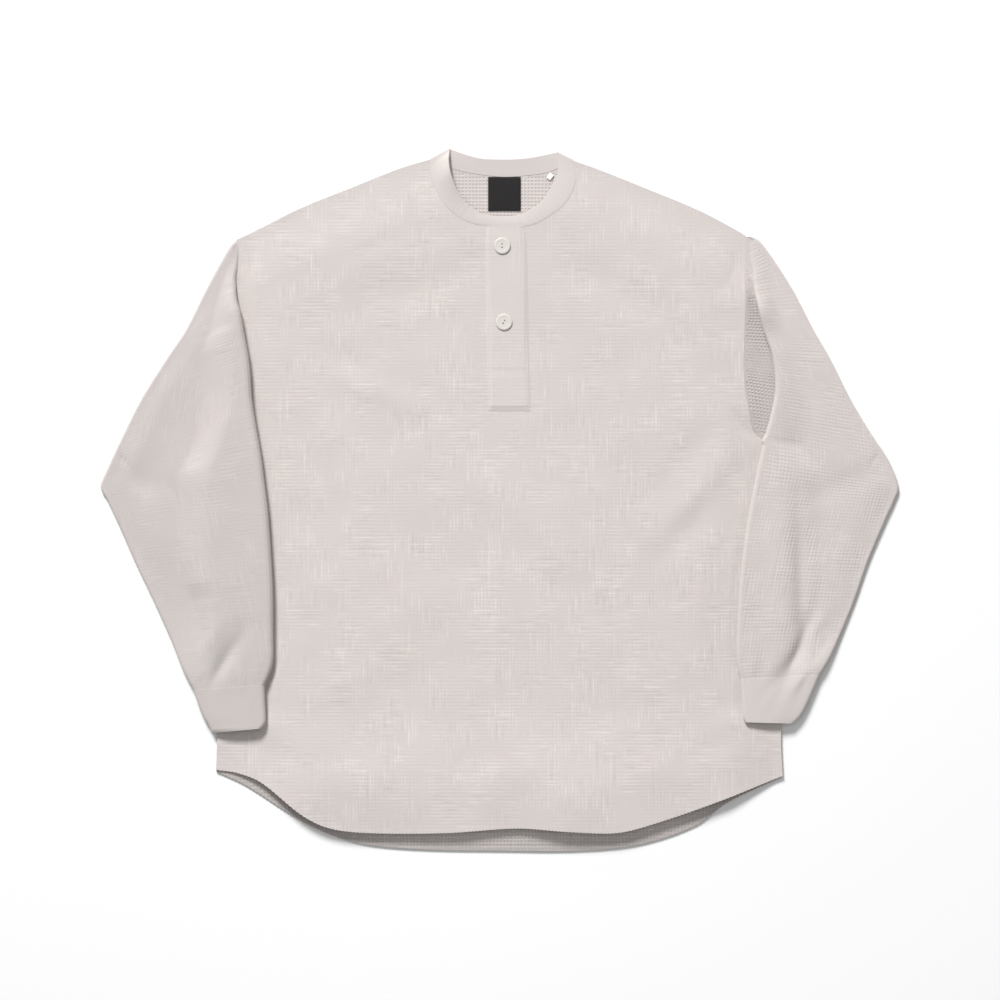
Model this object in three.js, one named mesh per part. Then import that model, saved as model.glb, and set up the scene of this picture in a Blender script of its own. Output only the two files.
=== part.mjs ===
// Long-sleeved thermal top with a neck placket and two buttons, laid flat with its front up.
// Millimetres, +Z up, neck towards +Y. The origin is on the surface it lies on, under its middle.
import * as THREE from 'three';

// Walls and the small gaps between sewn pieces
const WALL = 2;
const SEAM = 0.3;
const ARMPIT_SEAM = 1.3;
const BAND_FOLD_SEAM = 2;
const CUFF_SEAM = 0.6;
const PLACKET_WALL = 1.6;
const LABEL_WALL = 1;

// Heights of the middle of each panel where the garment lies flattest
const BACK_LEVEL = WALL / 2;
const FRONT_LEVEL = BACK_LEVEL + WALL + SEAM;

// How far the front panel lifts off the back, and where it starts to
const HALF_CHEST = 325;
const SLEEVE_LAP = 70;
const SIDE_EASE = 90;
const SHOULDER_EASE = 70;
const FRONT_LIFT = 1.8;
const HEM_LIFT = 1;
const HEM_EASE_FROM = -230;
const HEM_EASE_TO = -370;

// Sleeve and cuff section: radii of the middle of the wall where it folds, and heights
const TUCK_RADIUS = 1.3;
const LAP_RADIUS = 2.2;
const EDGE_RADIUS = 1.6;
const FOOT_RADIUS = 1.5;
const SIDE_SEAM_HEIGHT = 2.8;
const TUCK_LEVEL = 5.9;
const TUCK_START = 1;
const TUCK_DEPTH = 12;
const LEAST_TUCK = 0.5;
const SLEEVE_LEVEL = 6.4;
const SLEEVE_EASE_IN = 45;
const SLEEVE_EASE_OUT = 35;
const FULL_WIDTH = 120;
const FOLD_FREE_EDGE = 14;

// Neck band, buttons, placket and labels
const BAND_LIFT = 3;
const BUTTON = { diameter: 19, thick: 3, bevel: 0.6, hole: 1.1, holeApart: 2.3 };
const BUTTONS = [
  { name: 'button_upper', x: 3.1, y: 291.5, turn: 90 },
  { name: 'button_lower', x: 5.2, y: 203.9, turn: 60 },
];
const PLACKET = { top: 313.2, bottom: 101.1, leftTop: -16.8, leftBottom: -13.2, rightTop: 30.8, rightBottom: 36.2 };
const LABEL = { left: -13.6, right: 25.4, bottom: 331.2, top: 371 };
const CARE_TAB = { x: 57.6, y: 371.4, wide: 7, long: 9, turn: -32 };

// Grid sizes
const SHOULDER_STEPS = 6;
const NECK_STEPS = 12;
const FOLD_STEPS = 3;
const BAND_STEPS = 2;
const HEM_STEPS = 2;

// Body outline: hems from side to side, shoulders from armhole to neck, armholes from hem to shoulder
const HEM_FRONT = [
  { x: -326, y: -311 }, { x: -300, y: -315 }, { x: -273, y: -326 }, { x: -228, y: -362 },
  { x: -198, y: -377 }, { x: -154, y: -383 }, { x: -60, y: -383 }, { x: 20, y: -378 },
  { x: 85, y: -382 }, { x: 134, y: -383 }, { x: 170, y: -375 }, { x: 244, y: -350 }, { x: 326, y: -318 },
];
const HEM_BACK = [
  { x: -326, y: -313 }, { x: -292, y: -329 }, { x: -228, y: -370 }, { x: -191, y: -387 },
  { x: -154, y: -397 }, { x: -90, y: -402.6 }, { x: 0, y: -404.2 }, { x: 91, y: -404.2 },
  { x: 161, y: -397 }, { x: 226, y: -375 }, { x: 262, y: -349 }, { x: 326, y: -319 },
];
const SHOULDER_LEFT = [
  { x: -303, y: 298.4 }, { x: -275, y: 312 }, { x: -229, y: 335 }, { x: -172, y: 358 },
  { x: -114, y: 381 }, { x: -79, y: 391.5 },
];
const SHOULDER_RIGHT = [
  { x: 84.5, y: 390 }, { x: 115.6, y: 379 }, { x: 173, y: 356 }, { x: 230.6, y: 332 },
  { x: 276.6, y: 307.6 }, { x: 283.5, y: 303 },
];
const ARMHOLE_LEFT = [
  { y: -313, x: -326 }, { y: -276, x: -325 }, { y: 0, x: -325 }, { y: 34, x: -325 }, { y: 52, x: -318 },
  { y: 71, x: -311 }, { y: 97, x: -303 }, { y: 126, x: -298.5 }, { y: 160, x: -297.5 },
  { y: 195, x: -299.5 }, { y: 229, x: -302 }, { y: 270, x: -300.3 }, { y: 286, x: -299.8 }, { y: 298.4, x: -303 },
];
const ARMHOLE_RIGHT = [
  { y: -319, x: 326 }, { y: -276, x: 324 }, { y: 0, x: 324.5 }, { y: 34, x: 325 }, { y: 52, x: 316 },
  { y: 67, x: 304 }, { y: 80, x: 292 }, { y: 106, x: 286 }, { y: 129, x: 282 }, { y: 172, x: 281 },
  { y: 229, x: 283 }, { y: 258, x: 282.5 }, { y: 285, x: 284.5 }, { y: 303, x: 283.5 },
];

// Neck band from its left fold to its right fold: the seam to the panel and the free edge
const NECK_FRONT = [
  { at: 0, seamX: -79, seamY: 391.5, freeX: -57, freeY: 403.4 },
  { at: 0.12, seamX: -77.5, seamY: 370, freeX: -58, freeY: 387 },
  { at: 0.25, seamX: -69.5, seamY: 350, freeX: -54, freeY: 369 },
  { at: 0.36, seamX: -55, seamY: 331.5, freeX: -44, freeY: 348 },
  { at: 0.46, seamX: -30, seamY: 317.5, freeX: -22, freeY: 329.5 },
  { at: 0.52, seamX: 2, seamY: 314, freeX: 1, freeY: 325.7 },
  { at: 0.6, seamX: 35, seamY: 315.5, freeX: 24, freeY: 328 },
  { at: 0.7, seamX: 60, seamY: 328, freeX: 45, freeY: 340.5 },
  { at: 0.8, seamX: 77, seamY: 343, freeX: 58, freeY: 357 },
  { at: 0.9, seamX: 87.5, seamY: 366, freeX: 67, freeY: 378 },
  { at: 1, seamX: 84.5, seamY: 390, freeX: 66, freeY: 399.4 },
];
const NECK_BACK = [
  { at: 0, seamX: -79, seamY: 391.5, freeX: -57, freeY: 403.4 },
  { at: 0.2, seamX: -50.5, seamY: 380.1, freeX: -40, freeY: 397.3 },
  { at: 0.35, seamX: -26, seamY: 374.9, freeX: -21, freeY: 392.4 },
  { at: 0.5, seamX: 3, seamY: 371.6, freeX: 4, freeY: 391.3 },
  { at: 0.65, seamX: 30, seamY: 373, freeX: 28, freeY: 392.3 },
  { at: 0.8, seamX: 56, seamY: 377, freeX: 48, freeY: 395.6 },
  { at: 1, seamX: 84.5, seamY: 390, freeX: 66, freeY: 399.4 },
];

// Sleeve sections from the shoulder down: the outer edge, the inner fold that laps the body, and how
// far the wall turns back at the fold (180 is flat on itself). Sections from ARMPIT down are closed rings.
const ARMPIT = 8;
const SLEEVE_LEFT = [
  { outerX: -308.8, outerY: 292.6, foldX: -300.2, foldY: 290.4, turn: 60 },
  { outerX: -319.1, outerY: 275.4, foldX: -299.6, foldY: 273.1, turn: 65 },
  { outerX: -337.5, outerY: 240.9, foldX: -301.9, foldY: 249, turn: 90 },
  { outerX: -360.5, outerY: 194.9, foldX: -295.6, foldY: 220.2, turn: 150 },
  { outerX: -383.5, outerY: 160.4, foldX: -292.3, foldY: 188, turn: 180 },
  { outerX: -412.3, outerY: 114.4, foldX: -286.9, foldY: 155.8, turn: 180 },
  { outerX: -435.3, outerY: 68.4, foldX: -284, foldY: 115.6, turn: 180 },
  { outerX: -451.4, outerY: 33.9, foldX: -278.9, foldY: 82.2, turn: 180 },
  { outerX: -458.9, outerY: 14.4, foldX: -273.1, foldY: 47.7, turn: 180 },
  { outerX: -451.4, outerY: -0.6, foldX: -269.7, foldY: 20.1, turn: 180 },
  { outerX: -436.4, outerY: -32.8, foldX: -265.7, foldY: -12.1, turn: 180 },
  { outerX: -420.3, outerY: -69.6, foldX: -262.8, foldY: -52.3, turn: 180 },
  { outerX: -398.5, outerY: -115.6, foldX: -260, foldY: -104.1, turn: 180 },
  { outerX: -377.8, outerY: -161.6, foldX: -259.7, foldY: -152.4, turn: 180 },
  { outerX: -364, outerY: -196.1, foldX: -260.5, foldY: -189.2, turn: 180 },
  { outerX: -351.9, outerY: -219.1, foldX: -269.7, foldY: -213.3, turn: 180 },
];
const SLEEVE_RIGHT = [
  { outerX: 293.3, outerY: 297.9, foldX: 287.5, foldY: 292.7, turn: 60 },
  { outerX: 313.4, outerY: 278.9, foldX: 287.5, foldY: 266.2, turn: 70 },
  { outerX: 337.5, outerY: 240.9, foldX: 290.4, foldY: 234, turn: 120 },
  { outerX: 361.3, outerY: 194.9, foldX: 302.5, foldY: 197.2, turn: 180 },
  { outerX: 381.2, outerY: 160.4, foldX: 313.4, foldY: 163.9, turn: 180 },
  { outerX: 404.2, outerY: 114.4, foldX: 316.8, foldY: 128.2, turn: 180 },
  { outerX: 426.1, outerY: 77.6, foldX: 311.1, foldY: 96, turn: 180 },
  { outerX: 447.9, outerY: 44.3, foldX: 303.6, foldY: 68.4, turn: 180 },
  { outerX: 458.9, outerY: 15.5, foldX: 296.7, foldY: 37.4, turn: 180 },
  { outerX: 454.8, outerY: -0.6, foldX: 291.5, foldY: 10.9, turn: 180 },
  { outerX: 444.5, outerY: -23.6, foldX: 286.4, foldY: -14.4, turn: 180 },
  { outerX: 424.9, outerY: -69.6, foldX: 279.2, foldY: -63.8, turn: 180 },
  { outerX: 408.8, outerY: -115.6, foldX: 274.6, foldY: -113.3, turn: 180 },
  { outerX: 390.4, outerY: -160.4, foldX: 272, foldY: -162.7, turn: 180 },
  { outerX: 378.4, outerY: -185.7, foldX: 273.1, foldY: -189.2, turn: 180 },
  { outerX: 368.6, outerY: -201.8, foldX: 276.6, foldY: -206.4, turn: 180 },
];

// Cuff sections from the sleeve seam to the open end
const CUFF_LEFT = [
  { outerX: -351.9, outerY: -219.1, foldX: -269.7, foldY: -213.3, turn: 180 },
  { outerX: -346.7, outerY: -235.2, foldX: -269, foldY: -230.6, turn: 180 },
  { outerX: -341, outerY: -249, foldX: -268.1, foldY: -246.7, turn: 180 },
  { outerX: -334.7, outerY: -259.3, foldX: -268.5, foldY: -257, turn: 180 },
  { outerX: -330.6, outerY: -268, foldX: -273.1, foldY: -262.8, turn: 180 },
];
const CUFF_RIGHT = [
  { outerX: 368.6, outerY: -201.8, foldX: 276.6, foldY: -206.4, turn: 180 },
  { outerX: 362.3, outerY: -216.8, foldX: 278.1, foldY: -221.4, turn: 180 },
  { outerX: 354.8, outerY: -234, foldX: 278.9, foldY: -237.5, turn: 180 },
  { outerX: 347.3, outerY: -247.8, foldX: 280, foldY: -250.1, turn: 180 },
  { outerX: 338.1, outerY: -257.6, foldX: 282.3, foldY: -255.9, turn: 180 },
];

// Soft folds: where each lies, which way it runs, its half length and half width, and its height
// (below zero for a trough)
const FRONT_FOLDS = [
  { x: 235, y: 22, turn: 45, long: 60, wide: 22, rise: 0.8 },
  { x: 226, y: -28, turn: 45, long: 50, wide: 20, rise: -0.7 },
  { x: -191, y: 145, turn: -53, long: 62, wide: 22, rise: -0.9 },
  { x: -110, y: 125, turn: -50, long: 55, wide: 24, rise: 0.6 },
  { x: 172, y: 226, turn: -41, long: 55, wide: 24, rise: -0.8 },
  { x: -37, y: -346, turn: 90, long: 45, wide: 26, rise: -0.7 },
  { x: 52, y: -345, turn: 90, long: 45, wide: 26, rise: 0.5 },
  { x: 142, y: -352, turn: 90, long: 42, wide: 24, rise: -0.7 },
];
const SLEEVE_FOLDS = [
  { x: -404, y: 18, turn: -20, long: 42, wide: 14, rise: -0.9 },
  { x: -352, y: 92, turn: 62, long: 60, wide: 18, rise: 0.7 },
  { x: -318, y: -189, turn: 67, long: 34, wide: 9, rise: -1.1 },
  { x: -344, y: -205, turn: 70, long: 16, wide: 7, rise: -0.8 },
  { x: -288, y: -192, turn: 98, long: 26, wide: 9, rise: -0.7 },
  { x: 400, y: 20, turn: 24, long: 44, wide: 14, rise: -0.9 },
  { x: 366, y: 96, turn: -60, long: 58, wide: 18, rise: 0.7 },
  { x: 346, y: -82, turn: 90, long: 42, wide: 14, rise: -0.8 },
  { x: 349, y: -163, turn: 73, long: 38, wide: 9, rise: -1.1 },
  { x: 363, y: -180, turn: 51, long: 26, wide: 8, rise: -0.8 },
  { x: 303, y: -186, turn: 84, long: 24, wide: 9, rise: -0.6 },
];

const soft = (value) => THREE.MathUtils.smoothstep(value, 0, 1);
const { lerp, clamp, degToRad } = THREE.MathUtils;

// A smooth curve through a table's rows: every other column as a function of the key column.
function through(table, key) {
  const columns = Object.keys(table[0]).filter((column) => column !== key);
  const slope = (row, column) => {
    const before = table[Math.max(row - 1, 0)];
    const after = table[Math.min(row + 1, table.length - 1)];
    return (after[column] - before[column]) / (after[key] - before[key]);
  };
  return (value) => {
    let row = 0;
    while (row < table.length - 2 && value > table[row + 1][key]) row += 1;
    const from = table[row];
    const to = table[row + 1];
    const span = to[key] - from[key];
    const t = clamp((value - from[key]) / span, 0, 1);
    const result = { [key]: value };
    for (const column of columns) {
      result[column] =
        from[column] * (2 * t ** 3 - 3 * t ** 2 + 1) +
        slope(row, column) * span * (t ** 3 - 2 * t ** 2 + t) +
        to[column] * (3 * t ** 2 - 2 * t ** 3) +
        slope(row + 1, column) * span * (t ** 3 - t ** 2);
    }
    return result;
  };
}

// Height that the soft folds add at a point.
function ripple(folds, x, y) {
  let height = 0;
  for (const fold of folds) {
    const turn = degToRad(fold.turn);
    const along = (x - fold.x) * Math.cos(turn) + (y - fold.y) * Math.sin(turn);
    const across = (y - fold.y) * Math.cos(turn) - (x - fold.x) * Math.sin(turn);
    height += fold.rise * Math.exp(-((along / fold.long) ** 2) - (across / fold.wide) ** 2);
  }
  return height;
}

const shoulderLeft = through(SHOULDER_LEFT, 'x');
const shoulderRight = through(SHOULDER_RIGHT, 'x');
const neckFront = through(NECK_FRONT, 'at');
const neckBack = through(NECK_BACK, 'at');

// The shoulder line's height in plan at any x, carried level across the neck.
function shoulderLine(x) {
  return x < 0 ? shoulderLeft(x).y : shoulderRight(x).y;
}

// Height of the middle of the front panel's wall.
function frontLevel(x, y) {
  const fromSide = soft((HALF_CHEST - SLEEVE_LAP - Math.abs(x)) / SIDE_EASE);
  const fromShoulder = soft((shoulderLine(x) - y) / SHOULDER_EASE);
  const toHem = soft((HEM_EASE_FROM - y) / (HEM_EASE_FROM - HEM_EASE_TO));
  const lift = FRONT_LIFT + HEM_LIFT * toHem + ripple(FRONT_FOLDS, x, y);
  return FRONT_LEVEL + fromSide * fromShoulder * lift;
}

// A wall of cloth: a grid of points along its middle, moved out half a wall to each side and closed
// along its free edges. Points that share a place are one point, which is how a ring closes.
function wall(grid, thickness) {
  const ids = new Map();
  const middle = [];
  const idOf = (point) => {
    const place = point.toArray().map((value) => value.toFixed(3)).join();
    if (!ids.has(place)) {
      ids.set(place, middle.length);
      middle.push(point);
    }
    return ids.get(place);
  };
  const faces = [];
  for (let row = 0; row < grid.length - 1; row += 1) {
    for (let column = 0; column < grid[row].length - 1; column += 1) {
      const corners = [grid[row][column], grid[row + 1][column], grid[row + 1][column + 1], grid[row][column + 1]];
      faces.push(corners.map(idOf));
    }
  }
  const normals = middle.map(() => new THREE.Vector3());
  const edges = new Set();
  for (const face of faces) {
    const [a, b, c, d] = face.map((id) => middle[id]);
    const normal = c.clone().sub(a).cross(d.clone().sub(b)).normalize();
    face.forEach((id, corner) => {
      normals[id].add(normal);
      edges.add(`${id},${face[(corner + 1) % 4]}`);
    });
  }
  const positions = [];
  for (const side of [1, -1]) {
    middle.forEach((point, id) => {
      const normal = normals[id].clone().normalize();
      positions.push(...point.clone().addScaledVector(normal, side * thickness / 2).toArray());
    });
  }
  const under = middle.length;
  const triangles = [];
  const quad = (a, b, c, d) => triangles.push(a, b, c, a, c, d);
  for (const face of faces) {
    const [a, b, c, d] = face;
    quad(a, b, c, d);
    quad(d + under, c + under, b + under, a + under);
    face.forEach((id, corner) => {
      const next = face[(corner + 1) % 4];
      if (!edges.has(`${next},${id}`)) quad(next, id, id + under, next + under);
    });
  }
  const geometry = new THREE.BufferGeometry();
  geometry.setAttribute('position', new THREE.Float32BufferAttribute(positions, 3));
  geometry.setIndex(triangles);
  geometry.computeVertexNormals();
  return geometry;
}

// Where a sleeve section crosses the edge of the body.
function bodyEdge(section, armhole) {
  const slope = (section.foldY - section.outerY) / (section.foldX - section.outerX);
  let x = section.foldX;
  let y = section.foldY;
  for (let step = 0; step < 20; step += 1) {
    x = armhole(y).x;
    y = section.outerY + slope * (x - section.outerX);
  }
  return { x, y };
}

// The middle of a sleeve's wall at one section, as distance out from the body's edge (u) and height.
// It starts at the seam to the front panel (or, on a ring, beside the body's side seam), tucks, laps
// the body, folds back, runs out to the outer edge and returns along the surface underneath.
function sectionPath(section, ring) {
  const path = [];
  let u = ring ? SEAM + WALL / 2 : section.seam;
  let z = ring ? SIDE_SEAM_HEIGHT : FRONT_LEVEL;
  let heading = ring ? 90 : 0;
  const place = () => path.push({ u, z });
  const straight = (length, steps) => {
    for (let step = 0; step < steps; step += 1) {
      u += Math.cos(degToRad(heading)) * length / steps;
      z += Math.sin(degToRad(heading)) * length / steps;
      place();
    }
  };
  const bend = (to, radius, steps) => {
    const left = Math.sign(to - heading);
    const centreU = u - left * radius * Math.sin(degToRad(heading));
    const centreZ = z + left * radius * Math.cos(degToRad(heading));
    const from = heading;
    for (let step = 1; step <= steps; step += 1) {
      heading = lerp(from, to, step / steps);
      u = centreU + left * radius * Math.sin(degToRad(heading));
      z = centreZ - left * radius * Math.cos(degToRad(heading));
      place();
    }
  };

  place();
  const lens = Math.max(section.fold, 0);
  const tuckStart = ring ? TUCK_LEVEL - TUCK_RADIUS - SIDE_SEAM_HEIGHT : TUCK_START + lens;
  straight(tuckStart + (ring ? 0 : TUCK_DEPTH * soft(lens / 20)), 2);
  bend(section.turn, TUCK_RADIUS, FOLD_STEPS);
  straight(Math.max(u - section.fold - LAP_RADIUS - WALL / 2, LEAST_TUCK), 3);
  bend(0, LAP_RADIUS, FOLD_STEPS + 1);

  const top = { u, z };
  const edgeU = section.outer - WALL / 2 - EDGE_RADIUS;
  const edgeZ = BACK_LEVEL + 2 * EDGE_RADIUS;
  const middleZ = lerp(edgeZ, SLEEVE_LEVEL, soft(section.outer / FULL_WIDTH));
  const easeOut = Math.min(SLEEVE_EASE_OUT, (edgeU - Math.max(top.u, 0)) / 2);
  const easeIn = Math.min(SLEEVE_EASE_IN, (edgeU - Math.max(top.u, 0)) / 2);
  const holdTo = Math.max(top.u, Math.min(4, edgeU - easeIn - easeOut));
  const steps = 11;
  for (let step = 1; step <= steps; step += 1) {
    u = lerp(top.u, edgeU, step / steps);
    const inner = (top.z - middleZ) * (1 - soft((u - holdTo) / easeIn));
    const outer = (edgeZ - middleZ) * (1 - soft((edgeU - u) / easeOut));
    const free = soft((u - top.u) / FOLD_FREE_EDGE) * soft((edgeU - u) / FOLD_FREE_EDGE);
    z = middleZ + inner + outer + free * section.ripple(u);
    place();
  }

  z = edgeZ;
  bend(-180, EDGE_RADIUS, FOLD_STEPS + 1);
  const endU = ring ? SEAM + WALL / 2 + FOOT_RADIUS : 2 * FOOT_RADIUS;
  straight(u - endU, 8);
  if (ring) {
    bend(-270, FOOT_RADIUS, 2);
    path.push(path[0]);
  } else {
    straight(endU - section.seam, 3);
  }
  return path;
}

// The grid of a sleeve or cuff: one row for each section of its table.
function sleeveGrid(table, armhole, ringFrom, shift = 0) {
  return table.map((row, index) => {
    const edge = bodyEdge(row, armhole);
    const length = Math.hypot(row.outerX - row.foldX, row.outerY - row.foldY);
    const out = { x: (row.outerX - row.foldX) / length, y: (row.outerY - row.foldY) / length };
    const distance = (x, y) => (x - edge.x) * out.x + (y - edge.y) * out.y;
    const section = {
      seam: lerp(ARMPIT_SEAM, SEAM, soft((ringFrom - index) / 4)),
      turn: row.turn,
      outer: distance(row.outerX, row.outerY),
      fold: distance(row.foldX, row.foldY),
      ripple: (u) => ripple(SLEEVE_FOLDS, edge.x + out.x * u, edge.y + out.y * u),
    };
    return sectionPath(section, index >= ringFrom).map(
      ({ u, z }) => new THREE.Vector3(edge.x + out.x * u, edge.y + out.y * u - shift, z),
    );
  });
}

// Points along a panel's side, from the hem up to the shoulder, which meet the sleeve's sections.
function sidePoints(hemEnd, shoulderEnd, sleeve, armhole) {
  const points = sleeve.map((section) => bodyEdge(section, armhole)).reverse();
  const below = points[0];
  for (let step = HEM_STEPS - 1; step >= 0; step -= 1) {
    const y = lerp(hemEnd.y, below.y, step / HEM_STEPS);
    points.unshift(step === 0 ? hemEnd : armhole(y));
  }
  return [...points, shoulderEnd];
}

// Points along a panel's top: shoulder, neck, shoulder.
function topPoints(neck) {
  const points = [];
  const slope = (table, from, to) => {
    const line = through(table, 'x');
    for (let step = 0; step < SHOULDER_STEPS; step += 1) points.push(line(lerp(from, to, step / SHOULDER_STEPS)));
  };
  slope(SHOULDER_LEFT, SHOULDER_LEFT[0].x, SHOULDER_LEFT.at(-1).x);
  for (let step = 0; step < NECK_STEPS; step += 1) {
    const row = neck(step / NECK_STEPS);
    points.push({ x: row.seamX, y: row.seamY });
  }
  slope(SHOULDER_RIGHT, SHOULDER_RIGHT[0].x, SHOULDER_RIGHT.at(-1).x);
  return [...points, SHOULDER_RIGHT.at(-1)];
}

// A body panel, blended between its hem, its two sides and its top.
function panelGrid(hemTable, neck, level) {
  const top = topPoints(neck);
  const columns = top.length - 1;
  const hemLine = through(hemTable, 'x');
  const hem = top.map((point, column) => hemLine(lerp(hemTable[0].x, hemTable.at(-1).x, column / columns)));
  const left = sidePoints(hem[0], top[0], SLEEVE_LEFT, armholeLeft);
  const right = sidePoints(hem[columns], top[columns], SLEEVE_RIGHT, armholeRight);
  const rows = left.length - 1;
  const climb = (side, row) => (side[row].y - side[0].y) / (side[rows].y - side[0].y);
  return left.map((start, row) => {
    const v = (climb(left, row) + climb(right, row)) / 2;
    return top.map((end, column) => {
      const u = column / columns;
      const blend = (axis) =>
        lerp(hem[column][axis], end[axis], v) +
        lerp(start[axis], right[row][axis], u) -
        lerp(lerp(hem[0][axis], hem[columns][axis], u), lerp(top[0][axis], top[columns][axis], u), v);
      const x = blend('x');
      const y = blend('y');
      return new THREE.Vector3(x, y, level(x, y));
    });
  });
}

// The neck band: along the front seam, over the right shoulder fold, back along the back seam and
// over the left fold.
function bandGrid() {
  const across = Array.from({ length: BAND_STEPS + 1 }, (unused, step) => step / BAND_STEPS);
  const line = (row, height) => {
    const width = Math.hypot(row.freeX - row.seamX, row.freeY - row.seamY);
    const seam = lerp(BAND_FOLD_SEAM, SEAM, soft(2.5 * Math.min(row.at, 1 - row.at)));
    return across.map((part) => {
      const reach = lerp(seam / width, 1, part);
      const x = lerp(row.seamX, row.freeX, reach);
      const y = lerp(row.seamY, row.freeY, reach);
      return new THREE.Vector3(x, y, height(part));
    });
  };
  const front = [];
  for (let step = 0; step <= NECK_STEPS; step += 1) {
    const row = neckFront(step / NECK_STEPS);
    const lift = BAND_LIFT * Math.sin(Math.PI * step / NECK_STEPS);
    front.push(line(row, (part) => frontLevel(row.seamX, row.seamY) + lift * part));
  }
  const back = [];
  for (let step = NECK_STEPS; step >= 0; step -= 1) back.push(line(neckBack(step / NECK_STEPS), () => BACK_LEVEL));
  const fold = (from, to, side) => {
    const run = from.at(-1).clone().sub(from[0]);
    const outward = new THREE.Vector3(run.y, -run.x, 0).normalize().multiplyScalar(side);
    return Array.from({ length: FOLD_STEPS - 1 }, (unused, step) => {
      const turn = Math.PI * (step + 1) / FOLD_STEPS;
      return from.map((point, index) => {
        const radius = (point.z - to[index].z) / 2;
        const middle = point.clone().lerp(to[index], 0.5);
        middle.z += radius * Math.cos(turn);
        return middle.addScaledVector(outward, Math.abs(radius) * Math.sin(turn));
      });
    });
  };
  const rightFold = fold(front.at(-1), back[0], 1);
  const leftFold = fold(back.at(-1), front[0], -1);
  return [...front, ...rightFold, ...back, ...leftFold, front[0]];
}

// The outer placket strip, moved out from the front panel under it.
function placketGrid() {
  const rows = 12;
  const columns = 4;
  const rise = WALL / 2 + SEAM + PLACKET_WALL / 2;
  return Array.from({ length: rows + 1 }, (unusedRow, row) => {
    const down = row / rows;
    return Array.from({ length: columns + 1 }, (unusedColumn, column) => {
      const left = lerp(PLACKET.leftTop, PLACKET.leftBottom, down);
      const right = lerp(PLACKET.rightTop, PLACKET.rightBottom, down);
      const x = lerp(left, right, column / columns);
      const y = lerp(PLACKET.top, PLACKET.bottom, down);
      return new THREE.Vector3(x, y, frontLevel(x, y) + rise);
    });
  });
}

// A flat patch on the inside of the back panel.
function patchGrid(x, y, wide, long, turn) {
  const angle = degToRad(turn);
  const height = WALL + SEAM + LABEL_WALL / 2;
  return [0.5, -0.5].map((up) =>
    [-0.5, 0.5].map((across) => {
      const dx = across * wide;
      const dy = up * long;
      return new THREE.Vector3(
        x + dx * Math.cos(angle) - dy * Math.sin(angle),
        y + dx * Math.sin(angle) + dy * Math.cos(angle),
        height,
      );
    }),
  );
}

// A round two-hole button.
function buttonGeometry() {
  const face = new THREE.Shape().absarc(0, 0, BUTTON.diameter / 2 - BUTTON.bevel, 0, 2 * Math.PI);
  for (const side of [1, -1]) {
    const hole = new THREE.Path().absarc(side * BUTTON.holeApart, 0, BUTTON.hole + BUTTON.bevel, 0, 2 * Math.PI, true);
    face.holes.push(hole);
  }
  return new THREE.ExtrudeGeometry(face, {
    depth: BUTTON.thick - 2 * BUTTON.bevel,
    bevelThickness: BUTTON.bevel,
    bevelSize: BUTTON.bevel,
    bevelSegments: 1,
    curveSegments: 14,
  });
}

const armholeLeft = through(ARMHOLE_LEFT, 'y');
const armholeRight = through(ARMHOLE_RIGHT, 'y');

// Finishes
const waffle = new THREE.MeshStandardMaterial({ color: '#dbd3cf', roughness: 0.95, metalness: 0 });
const rib = new THREE.MeshStandardMaterial({ color: '#d9d1cb', roughness: 0.92, metalness: 0 });
const shell = new THREE.MeshStandardMaterial({ color: '#e2dcd7', roughness: 0.35, metalness: 0 });
const blackTape = new THREE.MeshStandardMaterial({ color: '#2e2b2e', roughness: 0.8, metalness: 0 });
const whiteTape = new THREE.MeshStandardMaterial({ color: '#f0eeea', roughness: 0.6, metalness: 0 });

const group = new THREE.Group();
function add(name, geometry, material) {
  const mesh = new THREE.Mesh(geometry, material);
  mesh.name = name;
  group.add(mesh);
  return mesh;
}

add('back_panel', wall(panelGrid(HEM_BACK, neckBack, () => BACK_LEVEL), WALL), waffle);
add('front_panel', wall(panelGrid(HEM_FRONT, neckFront, frontLevel), WALL), waffle);
add('sleeve_left', wall(sleeveGrid(SLEEVE_LEFT, armholeLeft, ARMPIT), WALL), waffle);
add('sleeve_right', wall(sleeveGrid(SLEEVE_RIGHT, armholeRight, ARMPIT), WALL), waffle);
add('cuff_left', wall(sleeveGrid(CUFF_LEFT, armholeLeft, 0, CUFF_SEAM), WALL), rib);
add('cuff_right', wall(sleeveGrid(CUFF_RIGHT, armholeRight, 0, CUFF_SEAM), WALL), rib);
add('neck_band', wall(bandGrid(), WALL), rib);
add('placket', wall(placketGrid(), PLACKET_WALL), waffle);

const labelWide = LABEL.right - LABEL.left;
const labelLong = LABEL.top - LABEL.bottom;
const labelGrid = patchGrid(LABEL.left + labelWide / 2, LABEL.bottom + labelLong / 2, labelWide, labelLong, 0);
add('neck_label', wall(labelGrid, LABEL_WALL), blackTape);
const tabGrid = patchGrid(CARE_TAB.x, CARE_TAB.y, CARE_TAB.wide, CARE_TAB.long, CARE_TAB.turn);
add('care_label', wall(tabGrid, LABEL_WALL), whiteTape);

for (const { name, x, y, turn } of BUTTONS) {
  const button = add(name, buttonGeometry(), shell);
  const seat = frontLevel(x, y) + WALL / 2 + PLACKET_WALL + 2 * SEAM;
  button.rotation.z = degToRad(turn);
  button.position.set(x, y, seat + BUTTON.bevel);
}

export default group;
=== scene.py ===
"""Long-sleeved thermal top laid flat: waffle panels, rib trims, placket, buttons and labels on its frame."""

import math
from collections import namedtuple

import bmesh
import bpy
import numpy as np
from bpy.props import FloatProperty, FloatVectorProperty, IntProperty, PointerProperty
from mathutils import Matrix, Vector
from mathutils.geometry import delaunay_2d_cdt


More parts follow.
